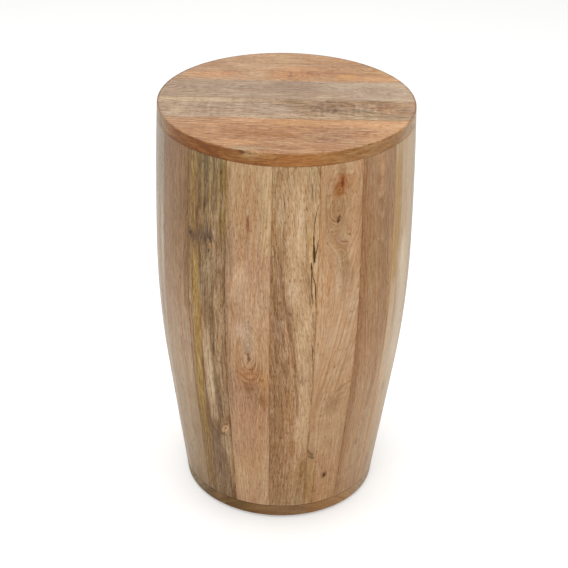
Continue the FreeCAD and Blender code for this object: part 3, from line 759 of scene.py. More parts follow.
def top_board_1_wood(wood):
    """The back board: peach with an orange field round a small forked knot."""
    wood.bend((85, 5), 4.0, 16.0)
    wood.ground((-160, "987452", -70, "9a7553", 0, "9b754f", 70, "976d46", 160, "9d764e"), 1.0, 13.0, 70.0)
    wood.patches(
        (88, -105, 11, 36, "a97649", 0.7, 0.5), (88, 6, 16, 34, "9b683a", 0.8, 0.5),
        (112, 18, 8, 26, "b07f52"), (96, 62, 9, 26, "8c5d35", 0.85), (86, 84, 9, 16, "ab7c42", 0.8),
        (80, 130, 8, 34, "ae7c50", 0.7), (120, -103, 6, 9, "865e35", 0.75), (122, -45, 12, 34, "ab8866"),
        (86, -40, 14, 16, "a48361"),
    )
    for offset, start, end in (
        (116, -95, -60), (120, -60, -10), (105, -95, -40), (127, -70, -15), (143, -30, -5),
    ):
        middle = (start + end) / 2.0
        wood.lines(
            (1.8, "7d5b3a", 0.5, offset, start, offset + 2.5, middle - 8, offset - 1.5, middle + 6,
             offset + 1.5, end),
        )
    wood.rings((-170, 92, 0, 88, 170, 96), (-170, 26, -60, 12, 0, 5, 90, 14, 170, 24), 0.7)
    wood.whorl((87, 5), (20, 34), 0.8)
    wood.lines(
        (2.0, "6b3d1c", 0.8, 99, 4.5, 92, 5.5, 85, 6), (2.6, "5c3113", 0.85, 84.5, -1, 83.5, 5, 84.5, 13),
    )


def top_board_2_wood(wood):
    """Grey taupe, with two closed loops of figure in it."""
    wood.ground((-170, "8c7259", -60, "8b7057", 30, "8c7158", 90, "91775e", 170, "9f866c"), 0.8, 12.0, 60.0)
    wood.ripple((36, -100), (26, 70), 0.06, 10.0)
    wood.patches(
        (45, 14, 16, 36, "82674f", 0.75, 0.35), (36, 130, 18, 27, "8c7159", 0.6, 0.35),
        (55, 100, 7, 60, "a08a70", 0.5), (14, 52, 5, 10, "a08c6c"),
    )
    wood.streaks((2.2, "735a42", 0.6, 12, 1.0, 22, -150, 21, -90, 23, -50))
    for grow in (0.55, 0.78, 1.0, 1.22):
        wide = 17 * grow
        wood.lines(
            (2.0, "705744", 0.42, 44 - wide, 10, 46 - 0.7 * wide, -14 * grow, 46, 14 - 38 * grow,
             47 + 0.7 * wide, -8, 45 + wide, 18, 46 + 0.6 * wide, 40 * grow, 44, 14 + 40 * grow),
        )
    for grow in (0.6, 0.85, 1.08):
        wide = 17 * grow
        wood.lines(
            (1.8, "786048", 0.4, 36 - wide, 134, 36 - 0.7 * wide, 130 - 20 * grow, 37, 130 - 26 * grow,
             37 + 0.8 * wide, 130 - 14 * grow, 38 + wide, 140),
        )
    wood.rings((-170, 28, 0, 44, 170, 34), (-170, 30, 15, 8, 80, 26, 135, 8, 170, 14), 0.85, wave=9.0)


def top_board_3_wood(wood):
    """Cream at the left, turning dark brown and rippled at the right."""
    wood.ground(
        (-170, "947a5f", -90, "92775d", -30, "8f7358", 30, "8b6d4d", 90, "8a6a48", 170, "916f4c"),
        1.2, 9.0, 45.0,
    )
    wood.patches(
        (-1, -130, 9, 68, "a98f6c", 0.7, 0.6), (-32, -20, 14, 26, "99806a"), (-40, -150, 14, 14, "a58c6c"),
        (-6, 6, 9, 16, "735329", 0.8), (-18, 60, 12, 16, "6b4b28", 0.8), (-10, 86, 12, 30, "7c5a36"),
        (-20, 128, 15, 18, "80552d", 0.75), (-26, 158, 14, 10, "87603a"), (-2, 128, 4, 22, "6e4d26", 0.8),
        (-35, 62, 6, 28, "70502f", 0.7), (-33, 100, 4, 20, "5f4a2c", 0.7), (-21, 102, 8, 12, "987a5c", 0.7),
        (-50, 140, 4, 30, "6b583d", 0.55), (-38, -163, 12, 8, "7e6348"), (-60, -58, 5, 34, "aa8b6c"),
        (-19, -16, 6, 18, "7f6449", 0.55), (-28, 165, 8, 11, "80624a", 0.7), (-50, 3, 5, 14, "ac9075"),
        (-26, 75, 5, 10, "987b5e"), (-13, 120, 5, 10, "947353"), (-60, 49, 5, 16, "ac8d6d"),
    )
    wood.streaks((6, "9c8260", 0.6, 40, 1.6, -58, -60, -57, 30, -59, 165))
    for start, offset, rise in (
        (-60, -12, 2), (-20, -18, -3), (10, -12, -6), (30, -22, -8), (60, -30, -6), (95, -36, -4),
        (44, -8, 3), (86, -16, -5), (112, -12, -3), (70, -44, -5),
    ):
        wood.lines(
            (3.2, "4f3817", 0.6, offset, start, offset + 0.4 * rise + 2, start + 10, offset + rise - 2,
             start + 24, offset + rise, start + 38),
        )
    wood.ripple((-34, -105), (30, 60), 0.13, 9.0)
    wood.ripple((-28, 95), (30, 80), 0.20, 7.0)
    wood.rings((-170, -30, 0, -24, 170, -30), (-170, 20, -40, 10, 60, 5, 170, 12), 0.9, wave=12.0)


def top_board_4_wood(wood):
    """The front board: orange, with brown streaks, grey patches and a dark knot in its rim."""
    wood.bend((-171, -53), 7.0, 20.0)
    wood.ground((-160, "996f48", -60, "94673f", 0, "8f6036", 80, "9b7049", 160, "ab8157"), 1.1, 10.0, 60.0)
    wood.streaks((20, "a87949", 0.7, 50, 2.0, -78, -70, -76, 20, -76, 150))
    wood.patches(
        (-82, 120, 16, 34, "b5865a", 0.6, 0.8), (-69, -58, 6, 34, "b58a62"), (-79, -25, 5, 12, "94643f"),
        (-78, -154, 6, 8, "8d6845"),
    )
    wood.streaks(
        (9, "86531f", 0.9, 25, 1.6, -112, -78, -114, -40, -118, 30),
        (3.5, "76481c", 0.7, 16, 1.0, -122, -72, -120, -20, -124, 26),
    )
    wood.patches((-120, 48, 7, 26, "86633c", 0.7), (-118, 60, 26, 34, "7f5532", 0.45, 0.8))
    wood.ripple((-118, 60), (28, 40), 0.10, 7.0)
    wood.patches(
        (-140, -62, 7, 26, "b1804f", 0.55), (-158, -50, 6, 22, "987d5b", 0.7),
        (-163, 20, 5, 30, "997044", 0.5),
    )
    for offset, start, end in (
        (-92, 70, 120), (-97, 84, 140), (-106, 50, 84), (-125, 40, 70), (-108, 95, 118), (-137, 26, 60),
        (-134, -50, -10), (-140, -32, 6), (-150, -66, -20), (-154, 5, 50), (-88, -52, -20), (-96, -130, -100),
    ):
        middle = (start + end) / 2.0
        wood.lines(
            (2.2, "714824", 0.5, offset, start, offset - 2, middle - 6, offset + 1, middle + 5,
             offset - 2.5, end),
        )
    for offset, start, end in (
        (-136, -30, 10), (-121, 60, 84), (-146, 0, 26), (-131, 64, 88), (-160, -20, 20),
    ):
        wood.lines((2.0, "bb9c78", 0.5, offset, start, offset - 3, (start + end) / 2.0, offset - 4, end))
    wood.rings((-170, -96, 0, -118, 170, -100), (-170, 26, -20, 8, 60, 5, 170, 22), 0.9, wave=8.0)
    wood.whorl((-172, -53), (22, 34), 0.9)


def hill(value, middle, width):
    """1 at the middle, falling off smoothly to each side."""
    return np.exp(-(((value - middle) / width) ** 2))


def rim_wood(wood, depth, bearing, is_front_board):
    """The turned rim is deeper and redder than the top face, most of all at the front left."""
    lower = smooth_step(0.3, 1.3, depth)
    # Tones mixed into the rim: the paler, greyer ones at the far left and right are a painted sheen, the
    # others the rim's own colour.
    for strength, where, code in (
        (0.72, 1.0, "976731"),
        (0.85, hill(bearing, -40.0, 22.0), "713903"),
        (0.8, 1.0 - smooth_step(-74.0, -56.0, bearing), "8d7250"),
        (0.7, smooth_step(50.0, 72.0, bearing), "b6946e"),
        (0.5, hill(bearing, 6.0, 13.0), "a86a34"),
        (0.15, hill(bearing, 38.0, 9.0), "b98e64"),
    ):
        wood.mix(strength * lower * where, code)
    wood.figure *= 1.0 - 0.85 * lower
    wood.calm(lower)
    rise = depth + 2.5 * wood.noise(bearing / 9.0, 0.0)
    wood.shade(0.13 * lower * wood.noise(bearing / 6.0, rise / 4.0))
    # The rim's foot is painted darker, by its joint with the staves: painted shade.
    foot = smooth_step(13.0, 17.5, depth)
    wood.shade(0.12 * foot * (1.0 - hill(bearing, 38.0, 14.0)))
    if is_front_board:
        rim_split(wood)


def rim_split(wood):
    """The short dark split in the front left of the rim, with paler wood and arched brown grain by it."""
    wood.patches((-172, -44, 3.6, 10, "ac8a62", 0.6, 0.7), (-176, -35, 3.6, 11, "a57d50", 0.5, 0.8))
    wood.lines(
        (3.6, "4a2f10", 0.9, -164.0, -60, -166.0, -57, -168.0, -54, -169.6, -51),
        (1.6, "452a10", 0.7, -167, -50, -168.6, -47.5), (1.6, "3f2710", 0.8, -171, -46, -172.4, -43.5),
        (3.2, "7d4717", 0.6, -170, -72, -176, -58, -183, -42, -184, -24, -180, -8, -175, 6),
        (3.0, "7a4413", 0.5, -176, -84, -184, -62, -189, -36, -189, -10),
    )


# ---- meshes ----

UV_NAME = "OFBake"
PIECE_LAYERS = ("tint", "grain", "marks")
GRAIN_SEED_STEP = 37.0
# The lamps and the sheen render a tone a little browner than it is written; this takes that back.
TONE_LIFT = np.array([1.02, 1.045, 1.075])


def squares(grid):
    """The four corners of each square between neighbouring rows and columns, turning left."""
    return np.stack([grid[:-1, :-1], grid[:-1, 1:], grid[1:, 1:], grid[1:, :-1]], axis=2)


def map_grid(across, upward):
    """Map places for a grid of points, from one number for each column and one for each row."""
    return np.stack(np.broadcast_arrays(across[None, :], upward[:, None]), axis=2)


def stretched(value, low, high):
    """The values, moved and stretched to run from low to high."""
    return np.interp(value, [value.min(), value.max()], [low, high])


def make_piece(name, points, patches, wood):
    """A mesh object from points in millimetres and patches of faces: (corners, map places, smooth).

    Corners that repeat the one before are left out, and so are faces with no width."""
    faces = []
    spots = []
    smooth = []
    for corners, places, is_smooth in patches:
        for face, place in zip(corners, places):
            kept = [index for index in range(len(face)) if face[index] != face[index - 1]]
            if len(kept) > 2:
                faces.append([face[index] for index in kept])
                spots.extend(place[index] for index in kept)
                smooth.append(is_smooth)
    mesh = bpy.data.meshes.new(name)
    mesh.from_pydata((points * MM).tolist(), [], faces)
    mesh.polygons.foreach_set("use_smooth", smooth)
    mesh.uv_layers.new(name=UV_NAME).uv.foreach_set("vector", np.array(spots, np.float32).ravel())
    own_grain = np.full(len(points), wood.seed * GRAIN_SEED_STEP)
    values = (wood.colour * TONE_LIFT, np.column_stack([wood.fibre, wood.along, own_grain]),
              np.column_stack([wood.ring, wood.figure, wood.dark]))
    for layer, value in zip(PIECE_LAYERS, values):
        attribute = mesh.attributes.new(layer, "FLOAT_VECTOR", "POINT")
        attribute.data.foreach_set("vector", value.astype(np.float32).ravel())
    piece = bpy.data.objects.new(name, mesh)
    bpy.context.scene.collection.objects.link(piece)
    return piece


# ---- staves ----

STAVE_SIDE_POINTS = 6
STAVE_INNER_POINTS = 7
COLUMN_STEP = 0.75
ROW_STEP = 2.5
CRACKED_STAVE = 1
CRACKED_ROW_STEP = 1.25
CRACKED_COLUMN_STEP = 0.3
CRACKED_COLUMNS = np.arange(20.8, 30.5, CRACKED_COLUMN_STEP)
GROOVE_STOP = 0.05
# The pattern's places on the joint faces, beyond the stave's edge, and on the inner face.
JOINT_PATTERN = np.array([0.5, 12.0, 13.0, 14.0, 15.0, 20.0])
INNER_PATTERN = 22.0
# The map's strips from left to right: outer face, right joint, inner face, left joint, ends.
MAP_OUTER = (0.006, 0.640)
MAP_RIGHT = 0.652
MAP_INNER = (0.740, 0.880)
MAP_LEFT = 0.888
MAP_LEFT_EDGE = 0.976
MAP_JOINT = 0.080 * np.array([0.0, 0.2, 0.45, 0.55, 0.8, 1.0])
MAP_HEIGHT = (0.006, 0.994)
MAP_ENDS = (0.982, 0.996)
MAP_END_FEET = (0.02, 0.52)
MAP_END_HEIGHT = 0.44


def stave_rows(step):
    """Heights of the cross-sections: close together where an end is eased or a groove stops."""
    plain = np.arange(STAVE_FOOT + step, STAVE_HEAD - step / 2.0, step)
    ends = [STAVE_FOOT, STAVE_FOOT + END_EASE, STAVE_HEAD - END_EASE, STAVE_HEAD]
    stops = [GROOVE_FOOT - GROOVE_STOP, GROOVE_FOOT, GROOVE_HEAD, GROOVE_HEAD + GROOVE_STOP]
    near_stops = np.abs(plain[:, None] - np.array(stops)).min(axis=1) < 4 * GROOVE_STOP
    return np.sort(np.concatenate([plain[~near_stops], ends, stops]))


def stave_columns(cracked):
    """Places across the outer face, closer together where it has splits."""
    count = round(2.0 * STAVE_HALF_WIDTH / COLUMN_STEP) + 1
    columns = np.linspace(-STAVE_HALF_WIDTH, STAVE_HALF_WIDTH, count)
    if cracked:
        margin = CRACKED_COLUMN_STEP / 2.0
        outside = (columns < CRACKED_COLUMNS[0] - margin) | (columns > CRACKED_COLUMNS[-1] + margin)
        columns = np.sort(np.concatenate([columns[outside], CRACKED_COLUMNS]))
    return columns


def stave_points(rows, columns, relief):
    """Points of every cross-section, round the stave: outer face, right joint, inner face, left joint."""
    cosine = math.cos(STAVE_HALF_ANGLE)
    sine = math.sin(STAVE_HALF_ANGLE)
    outline = drum_radius(rows)
    outer = outline.copy()
    outer[[0, -1]] -= END_EASE
    inside = inner_flat(rows)
    tongue = inside / cosine + TONGUE_DEPTH_FROM_INSIDE
    grooved = ((rows >= GROOVE_FOOT) & (rows <= GROOVE_HEAD)) * GROOVE_DEPTH
    angle = columns[None, :] / STAVE_HALF_WIDTH * (STAVE_HALF_ANGLE - SEAM_EASE / outline[:, None])
    radius = outer[:, None] + relief
    face = np.stack([radius * np.cos(angle), radius * np.sin(angle)], axis=2)
    right = []
    for reach, depth in (
        (outer - SEAM_EASE, 0.0),
        (tongue + GROOVE_HALF_OPENING, 0.0),
        (tongue + GROOVE_HALF_OPENING, grooved),
        (tongue - GROOVE_HALF_OPENING, grooved),
        (tongue - GROOVE_HALF_OPENING, 0.0),
        (inside / cosine, 0.0),
    ):
        inset = SEAM_GAP + depth
        place = [reach * cosine + inset * sine, reach * sine - inset * cosine]
        right.append(np.stack(place, axis=1)[:, None, :])
    left = [points * (1, -1) for points in reversed(right)]
    shares = np.linspace(1.0, -1.0, STAVE_INNER_POINTS + 2)[1:-1]
    half_flat = inside * math.tan(STAVE_HALF_ANGLE)
    inner = np.stack([inside[:, None] + 0.0 * shares, half_flat[:, None] * shares], axis=2)
    section = np.concatenate([face] + right + [inner] + left, axis=1)
    height = np.broadcast_to(rows[:, None, None], section.shape[:2] + (1,))
    return np.concatenate([section, height], axis=2)


def stave_index(rows, columns):
    """Point numbers round each cross-section. Where there is no groove, its bottom is its mouth."""
    round_count = len(columns) + 2 * STAVE_SIDE_POINTS + STAVE_INNER_POINTS
    index = np.arange(len(rows) * round_count).reshape(len(rows), round_count)
    plain = (rows < GROOVE_FOOT) | (rows > GROOVE_HEAD)
    for start in (len(columns), len(columns) + STAVE_SIDE_POINTS + STAVE_INNER_POINTS):
        index[plain, start + 2] = index[plain, start + 1]
        index[plain, start + 3] = index[plain, start + 4]
    return index


def stave_map(rows, columns):
    """Map places round each cross-section: the outer face has most of the map's width."""
    outer = stretched(columns, *MAP_OUTER)
    inner = np.linspace(*MAP_INNER, STAVE_INNER_POINTS)
    across = np.concatenate([outer, MAP_RIGHT + MAP_JOINT, inner, MAP_LEFT + MAP_JOINT, [MAP_LEFT_EDGE]])
    return map_grid(across, stretched(rows, *MAP_HEIGHT))


def stave_wood(rows, columns, number):
    """The wood at every point, on the unrolled surface of the stave."""
    side = STAVE_HALF_WIDTH + JOINT_PATTERN
    inner = np.linspace(INNER_PATTERN, -INNER_PATTERN, STAVE_INNER_POINTS)
    across = np.concatenate([columns, side, inner, -side[::-1]])
    shown = np.zeros(len(across))
    shown[: len(columns) + 1] = 1.0
    shown[-1] = 1.0
    wood = Wood(np.tile(across, len(rows)), np.repeat(rows, len(across)), np.tile(shown, len(rows)), number)
    if number in SHOWN_STAVES:
        SHOWN_STAVES[number](wood)
    else:
        hidden_stave_wood(wood, HIDDEN_STAVES[number - FIRST_HIDDEN_STAVE], np.random.default_rng(number))
    wood.edges(STAVE_HALF_WIDTH)
    return wood


def end_patch(ring, points, low):
    """The face that closes an end of a stave, on a narrow strip at the right of the map."""
    ring = list(dict.fromkeys(ring.tolist()))
    across = stretched(points[ring, 0], *MAP_ENDS)
    upward = stretched(points[ring, 1], low, low + MAP_END_HEIGHT)
    return [ring], [np.column_stack([across, upward]).tolist()], False


def make_stave(number):
    """The mesh of a stave, in its place in the barrel."""
    cracked = number == CRACKED_STAVE
    rows = stave_rows(CRACKED_ROW_STEP if cracked else ROW_STEP)
    columns = stave_columns(cracked)
    wood = stave_wood(rows, columns, number)
    relief = wood.relief.reshape(len(rows), -1)[:, : len(columns)]
    points = stave_points(rows, columns, relief).reshape(-1, 3)
    index = stave_index(rows, columns)
    corners = squares(np.concatenate([index, index[:, :1]], axis=1))
    places = squares(stave_map(rows, columns))
    outer = len(columns) - 1
    patches = []
    for part, smooth in ((slice(0, outer), True), (slice(outer, None), False)):
        part_corners = corners[:, part].reshape(-1, 4).tolist()
        patches.append((part_corners, places[:, part].reshape(-1, 4, 2).tolist(), smooth))
    for ring, low in zip((index[0, ::-1], index[-1]), MAP_END_FEET):
        patches.append(end_patch(ring, points, low))
    turn = math.radians(FIRST_STAVE_ANGLE) + 2.0 * STAVE_HALF_ANGLE * (number - 1)
    cosine = math.cos(turn)
    sine = math.sin(turn)
    x, y, z = points.T
    points = np.column_stack([x * cosine - y * sine, x * sine + y * cosine, z])
    return make_piece(f"stave_wood_{number:02d}", points, patches, wood)


# ---- boards of the top ----

TOP_WOODS = (top_board_1_wood, top_board_2_wood, top_board_3_wood, top_board_4_wood)
TOP_STEP = 1.2
TOP_FOOT_EASE = 0.5
ARRIS_STEPS = 4
RIM_STEP = 1.1
TOP_SEED = 40
# Painted shade along the edge of the top's face: the width over which it fades in, and the width by the edge
# where it is full.
EDGE_SHADE_FADE = 2.2
EDGE_MARGIN = 1.2
# The map of a top board: its upper face above, its rim and joints in a band, its underside at the foot.
MAP_SIDES = (0.008, 0.992)
MAP_FACE = (0.305, 0.992)
MAP_RIM = (0.295, 0.165)
MAP_FOOT = (0.008, 0.155)


def rim_levels():
    """Height, rim radius and joint inset at each level, from the edge of the face down a board's sides."""
    shoulder = TABLE_HEIGHT - ARRIS
    levels = []
    for step in range(ARRIS_STEPS + 1):
        turn = math.pi / 2.0 * step / ARRIS_STEPS
        ease = JOINT_EASE * max(0.0, 1.0 - 2.0 * step / ARRIS_STEPS)
        radius = drum_radius(shoulder) - ARRIS * (1.0 - math.sin(turn))
        levels.append((shoulder + ARRIS * math.cos(turn), radius, ease + SEAM_GAP))
    foot = STAVE_HEAD + TOP_FOOT_EASE
    for z in [*np.arange(shoulder - RIM_STEP, foot, -RIM_STEP), foot]:
        levels.append((z, drum_radius(z), SEAM_GAP))
    levels.append((STAVE_HEAD, drum_radius(STAVE_HEAD) - TOP_FOOT_EASE, SEAM_GAP))
    return levels


class Board:
    """A board of the top, as a grid of columns along it and rows from its near side to its far one.

    The far side of an outer board is an arc of the rim. The front board is set out as a back one and turned
    half round."""

    def __init__(self, number):
        edges = (TOP_RADIUS, *TOP_JOINTS_Y, -TOP_RADIUS)
        self.outer = number in (1, len(TOP_WOODS))
        self.turn = -1.0 if number == len(TOP_WOODS) else 1.0
        self.near, self.far = sorted(self.turn * edge for edge in edges[number - 1 : number + 1])
        length = 2.0 * TOP_RADIUS
        if self.outer:
            length *= math.acos(self.near / TOP_RADIUS)
        self.columns = round(length / TOP_STEP)
        self.rows = round((self.far - self.near) / RIM_STEP)

    def layer(self, column, row, z, radius, inset, on_rim):
        """Points of the board at a level, and whether each is on the rim."""
        near = self.near + inset
        if self.outer:
            start = np.arcsin(near / radius)
            angle = start + column / self.columns * (math.pi - 2.0 * start)
            x = -radius * np.cos(angle)
            y = near + row / self.rows * (radius * np.sin(angle) - near)
        else:
            y = near + row / self.rows * (self.far - inset - near)
            x = (2.0 * column / self.columns - 1.0) * np.sqrt(radius**2 - y**2)
        return np.column_stack(np.broadcast_arrays(self.turn * x, self.turn * y, z, on_rim))

    def index(self):
        """Point numbers of the upper face. The pointed ends of an outer board are one point each."""
        index = np.arange((self.rows + 1) * (self.columns + 1)).reshape(self.rows + 1, self.columns + 1)
        if self.outer:
            index[:, [0, -1]] = index[0, [0, -1]]
        return index

    def around(self):
        """Column, row and whether it is on the rim for each point round the board, turning left."""
        near = [(column, 0, 0) for column in range(self.columns)]
        far = [(column, self.rows, int(self.outer)) for column in range(self.columns, 0, -1)]
        right = [(self.columns, row, 1) for row in range(self.rows)]
        left = [(0, row, 1) for row in range(self.rows, 0, -1)]
        return np.array(near + far if self.outer else near + right + far + left).T


def make_top_board(number):
    """The mesh of a top board: its face, then a ring of points round it for each level below."""
    board = Board(number)
    index = board.index()
    rows, columns = np.mgrid[0 : board.rows + 1, 0 : board.columns + 1]
    column, row, is_rim = board.around()
    (z, radius, inset), *levels = rim_levels()
    layers = [board.layer(columns.ravel(), rows.ravel(), z, radius, inset, 0.0)]
    rings = [index[row, column]]
    for z, radius, inset in levels:
        rings.append(sum(len(layer) for layer in layers) + np.arange(len(row)))
        layers.append(board.layer(column, row, z, radius, inset, is_rim))
    points = np.vstack(layers)
    wood = top_wood(points.T, number)
    places = np.column_stack([stretched(points[:, 0], *MAP_SIDES), stretched(points[:, 1], *MAP_FACE)])
    face = squares(index).reshape(-1, 4)
    rim = squares(np.array([np.append(ring, ring[0]) for ring in rings]))[:, :, ::-1].reshape(-1, 4)
    rim_map = map_grid(np.linspace(*MAP_SIDES, len(row) + 1), np.linspace(*MAP_RIM, len(rings)))
    foot = rings[-1][::-1]
    foot_map = np.column_stack([places[foot, 0], stretched(points[foot, 1], *MAP_FOOT)])
    patches = [
        (face.tolist(), places[face].tolist(), True),
        (rim.tolist(), squares(rim_map)[:, :, ::-1].reshape(-1, 4, 2).tolist(), True),
        ([foot.tolist()], [foot_map.tolist()], False),
    ]
    return make_piece(f"top_wood_{number}", points[:, :3], patches, wood)


def top_wood(points, number):
    """The wood of a top board. Its face pattern runs on down the rim, where the fibres run round the drum."""
    x, y, z, on_rim = points
    depth = TABLE_HEIGHT - z
    wood = Wood(y + depth * y / TOP_RADIUS, x.copy(), np.ones(len(x)), TOP_SEED + number)
    TOP_WOODS[number - 1](wood)
    bearing = np.degrees(np.arctan2(x, -y))
    # A narrow band by the edge of the face is painted darker, most of all at the back: painted shade.
    near_edge = smooth_step(-EDGE_MARGIN - EDGE_SHADE_FADE, -EDGE_MARGIN, np.hypot(x, y) - TOP_RADIUS)
    wood.shade(near_edge * (0.14 + 0.36 * smooth_step(60.0, 100.0, np.abs(bearing))))
    rim_wood(wood, depth * on_rim, bearing, number == len(TOP_WOODS))
    wood.fibre += on_rim * (0.1 * y - depth - wood.fibre)
    wood.along += on_rim * (np.radians(bearing) * TOP_RADIUS - wood.along)
    return wood


# ---- materials ----

WOOD_SHINE = 0.25
DUST_WEIGHT = 0.30
DUST_SPREAD = 0.35
DUST_TONE = "f6f4f3"
# The deep brown inside the open splits: painted shade.
SPLIT_TONE = "573a06"
WOOD_ROUGHNESS = 0.5
WOOD_BUMP = 0.00018
# Sizes of the marks in the grain, in millimetres: across the fibres, along them, and from board to board.
BROAD_FIBRES = (3.0, 48.0, 1.0)
MIDDLE_FIBRES = (1.5, 18.0, 1.0)
FINE_FIBRES = (0.5, 8.0, 1.0)
PORES = (0.85, 8.5, 1.0)
WHITE = (1.0, 1.0, 1.0, 1.0)


def rgba(code):
    """A colour for a shader's socket, from six hexadecimal digits."""
    return tuple(tone(code)) + (1.0,)


class Nodes:
    """The nodes of one new material or world, added and joined in short calls."""

    def __init__(self, owner):
        self.owner = owner
        owner.use_nodes = True
        self.tree = owner.node_tree

    def set(self, node, inputs):
        """Gives a node's inputs plain values, or links them to other nodes' outputs."""
        for name, value in inputs.items():
            if isinstance(value, bpy.types.NodeSocket):
                self.tree.links.new(value, node.inputs[name])
            else:
                node.inputs[name].default_value = value

    def add(self, kind, inputs, **settings):
        """A new node's outputs. The settings are the node's own."""
        node = self.tree.nodes.new("ShaderNode" + kind)
        for name, value in settings.items():
            setattr(node, name, value)
        self.set(node, inputs)
        return node.outputs

    def math(self, operation, first, second=0.0):
        """The result of a sum with one or two values."""
        return self.add("Math", {0: first, 1: second}, operation=operation)[0]

    def noise(self, place, size, detail=2.0, roughness=0.5):
        """Noise whose grains are as large as size along the three directions of place, from -0.5 to 0.5."""
        scale = [1.0 / length for length in size]
        scaled = self.add("VectorMath", {0: place, 1: scale}, operation="MULTIPLY")
        inputs = {"Vector": scaled[0], "Scale": 1.0, "Detail": detail, "Roughness": roughness}
        return self.math("SUBTRACT", self.add("TexNoise", inputs)[0], 0.5)

    def step(self, value, low, high):
        """0 below low, 1 above high and smooth between."""
        inputs = {"Value": value, "From Min": low, "From Max": high}
        return self.add("MapRange", inputs, interpolation_type="SMOOTHSTEP")["Result"]

    def total(self, *terms, level=0.0):
        """A level with (value, weight) terms added to it."""
        found = level
        for value, weight in terms:
            found = self.math("ADD", self.math("MULTIPLY", value, weight), found)
        return found

    def mix(self, share, first, second):
        """The first colour where share is 0 and the second where it is 1."""
        return self.add("Mix", {"Factor": share, "A": first, "B": second}, data_type="RGBA")["Result"]

    def deepened(self, colour, amount):
        """The colour made deeper and richer where amount is over 0, and paler where it is under 0."""
        return self.add("Gamma", {"Color": colour, "Gamma": self.math("ADD", amount, 1.0)})[0]

    def finish(self, colour, roughness, shine, bumps=None, bump_height=0.0, **others):
        """Sets the shader. bump_height is in metres; others are further inputs, with _ for a space."""
        inputs = {"Base Color": colour, "Roughness": roughness, "Specular IOR Level": shine}
        if bumps:
            inputs["Normal"] = self.add("Bump", {"Distance": bump_height, "Height": bumps})[0]
        inputs.update({name.replace("_", " "): value for name, value in others.items()})
        self.set(self.tree.nodes["Principled BSDF"], inputs)
        return self.owner

    def table_place(self):
        """The place in the table in millimetres."""
        place = self.add("TexCoord", {})["Object"]
        return self.add("VectorMath", {0: place, 1: (1.0 / MM, 1.0 / MM, 1.0 / MM)}, operation="MULTIPLY")[0]

    def parts(self, vector):
        """The three parts of a vector."""
        return self.add("SeparateXYZ", {0: vector})


def wood_material(name, fibre, pores):
    """Oiled mango wood: the tones its piece holds, with fibres, growth rings, pores and open splits."""
    nodes = Nodes(bpy.data.materials.new(name))
    layers = [nodes.add("Attribute", {}, attribute_name=layer)["Vector"] for layer in PIECE_LAYERS]
    tint, grain, marks = layers
    ring, figure, dark = nodes.parts(marks)
    broad = nodes.noise(grain, BROAD_FIBRES)
    middle = nodes.noise(grain, MIDDLE_FIBRES, 2.0, 0.6)
    fine = nodes.noise(grain, FINE_FIBRES, 2.0, 0.6)
    vessel = nodes.step(nodes.noise(grain, PORES, 1.0), 0.10, 0.20)
    rings = nodes.add("TexNoise", {"W": ring, "Scale": 1.0, "Detail": 3.0}, noise_dimensions="1D")[0]
    growth = nodes.math("MULTIPLY", nodes.math("SUBTRACT", rings, 0.5), figure)
    depth = nodes.total((broad, 0.40 * fibre), (middle, 0.85 * fibre), (fine, 0.55 * fibre), (growth, 0.75),
                        (vessel, 0.42 * pores))
    colour = nodes.deepened(tint, nodes.math("MULTIPLY", depth, nodes.math("SUBTRACT", 1.0, dark)))
    # Inside the open splits the tone turns deep brown: painted shade, over their carved depth.
    split = nodes.step(dark, 0.42, 0.72)
    colour = nodes.mix(split, colour, rgba(SPLIT_TONE))
    rough = nodes.total((fine, 0.22), (vessel, 0.16), (growth, 0.10), (split, 0.35), level=WOOD_ROUGHNESS)
    bumps = nodes.total((vessel, -1.0), (fine, -0.55), (middle, -0.35), (growth, -0.3))
    return nodes.finish(colour, rough, WOOD_SHINE, bumps, WOOD_BUMP, Sheen_Weight=DUST_WEIGHT,
                        Sheen_Roughness=DUST_SPREAD, Sheen_Tint=rgba(DUST_TONE))


# Tones round the rim of the base, at places from left to right. The paler, greyer ones at the far left
# and right are a painted sheen; the others are the rim's own colour.
BASE_RIM_TONES = (
    (-135, "8a7650"), (-112, "775f38"), (-98, "624520"), (-86, "7a5829"), (-75, "674614"), (-50, "674616"),
    (-22, "7a552b"), (0, "805c35"), (28, "835f38"), (50, "8c6235"), (75, "9d7245"), (100, "a67c4c"),
    (135, "b49a7c"),
)
BASE_BARE_TONES = ("a9825a", "96704a")
BASE_SHINE = 0.42
BASE_ROUGHNESS = 0.5
BASE_BUMP = 0.0002
BASE_BROAD_FIBRES = (5.0, 70.0, 1.0)
BASE_FINE_FIBRES = (0.5, 11.0, 1.0)
BASE_PORES = (0.6, 6.5, 1.0)
BASE_HEAD = 22.0
BASE_BOARD_WIDTH = 70.0
# Distances from a joint, and from the middle of the base, between which the joint's line fades out.
BASE_JOINT_FADE = (0.35, 0.1)
BASE_JOINTS_END = (110.0, 105.0)


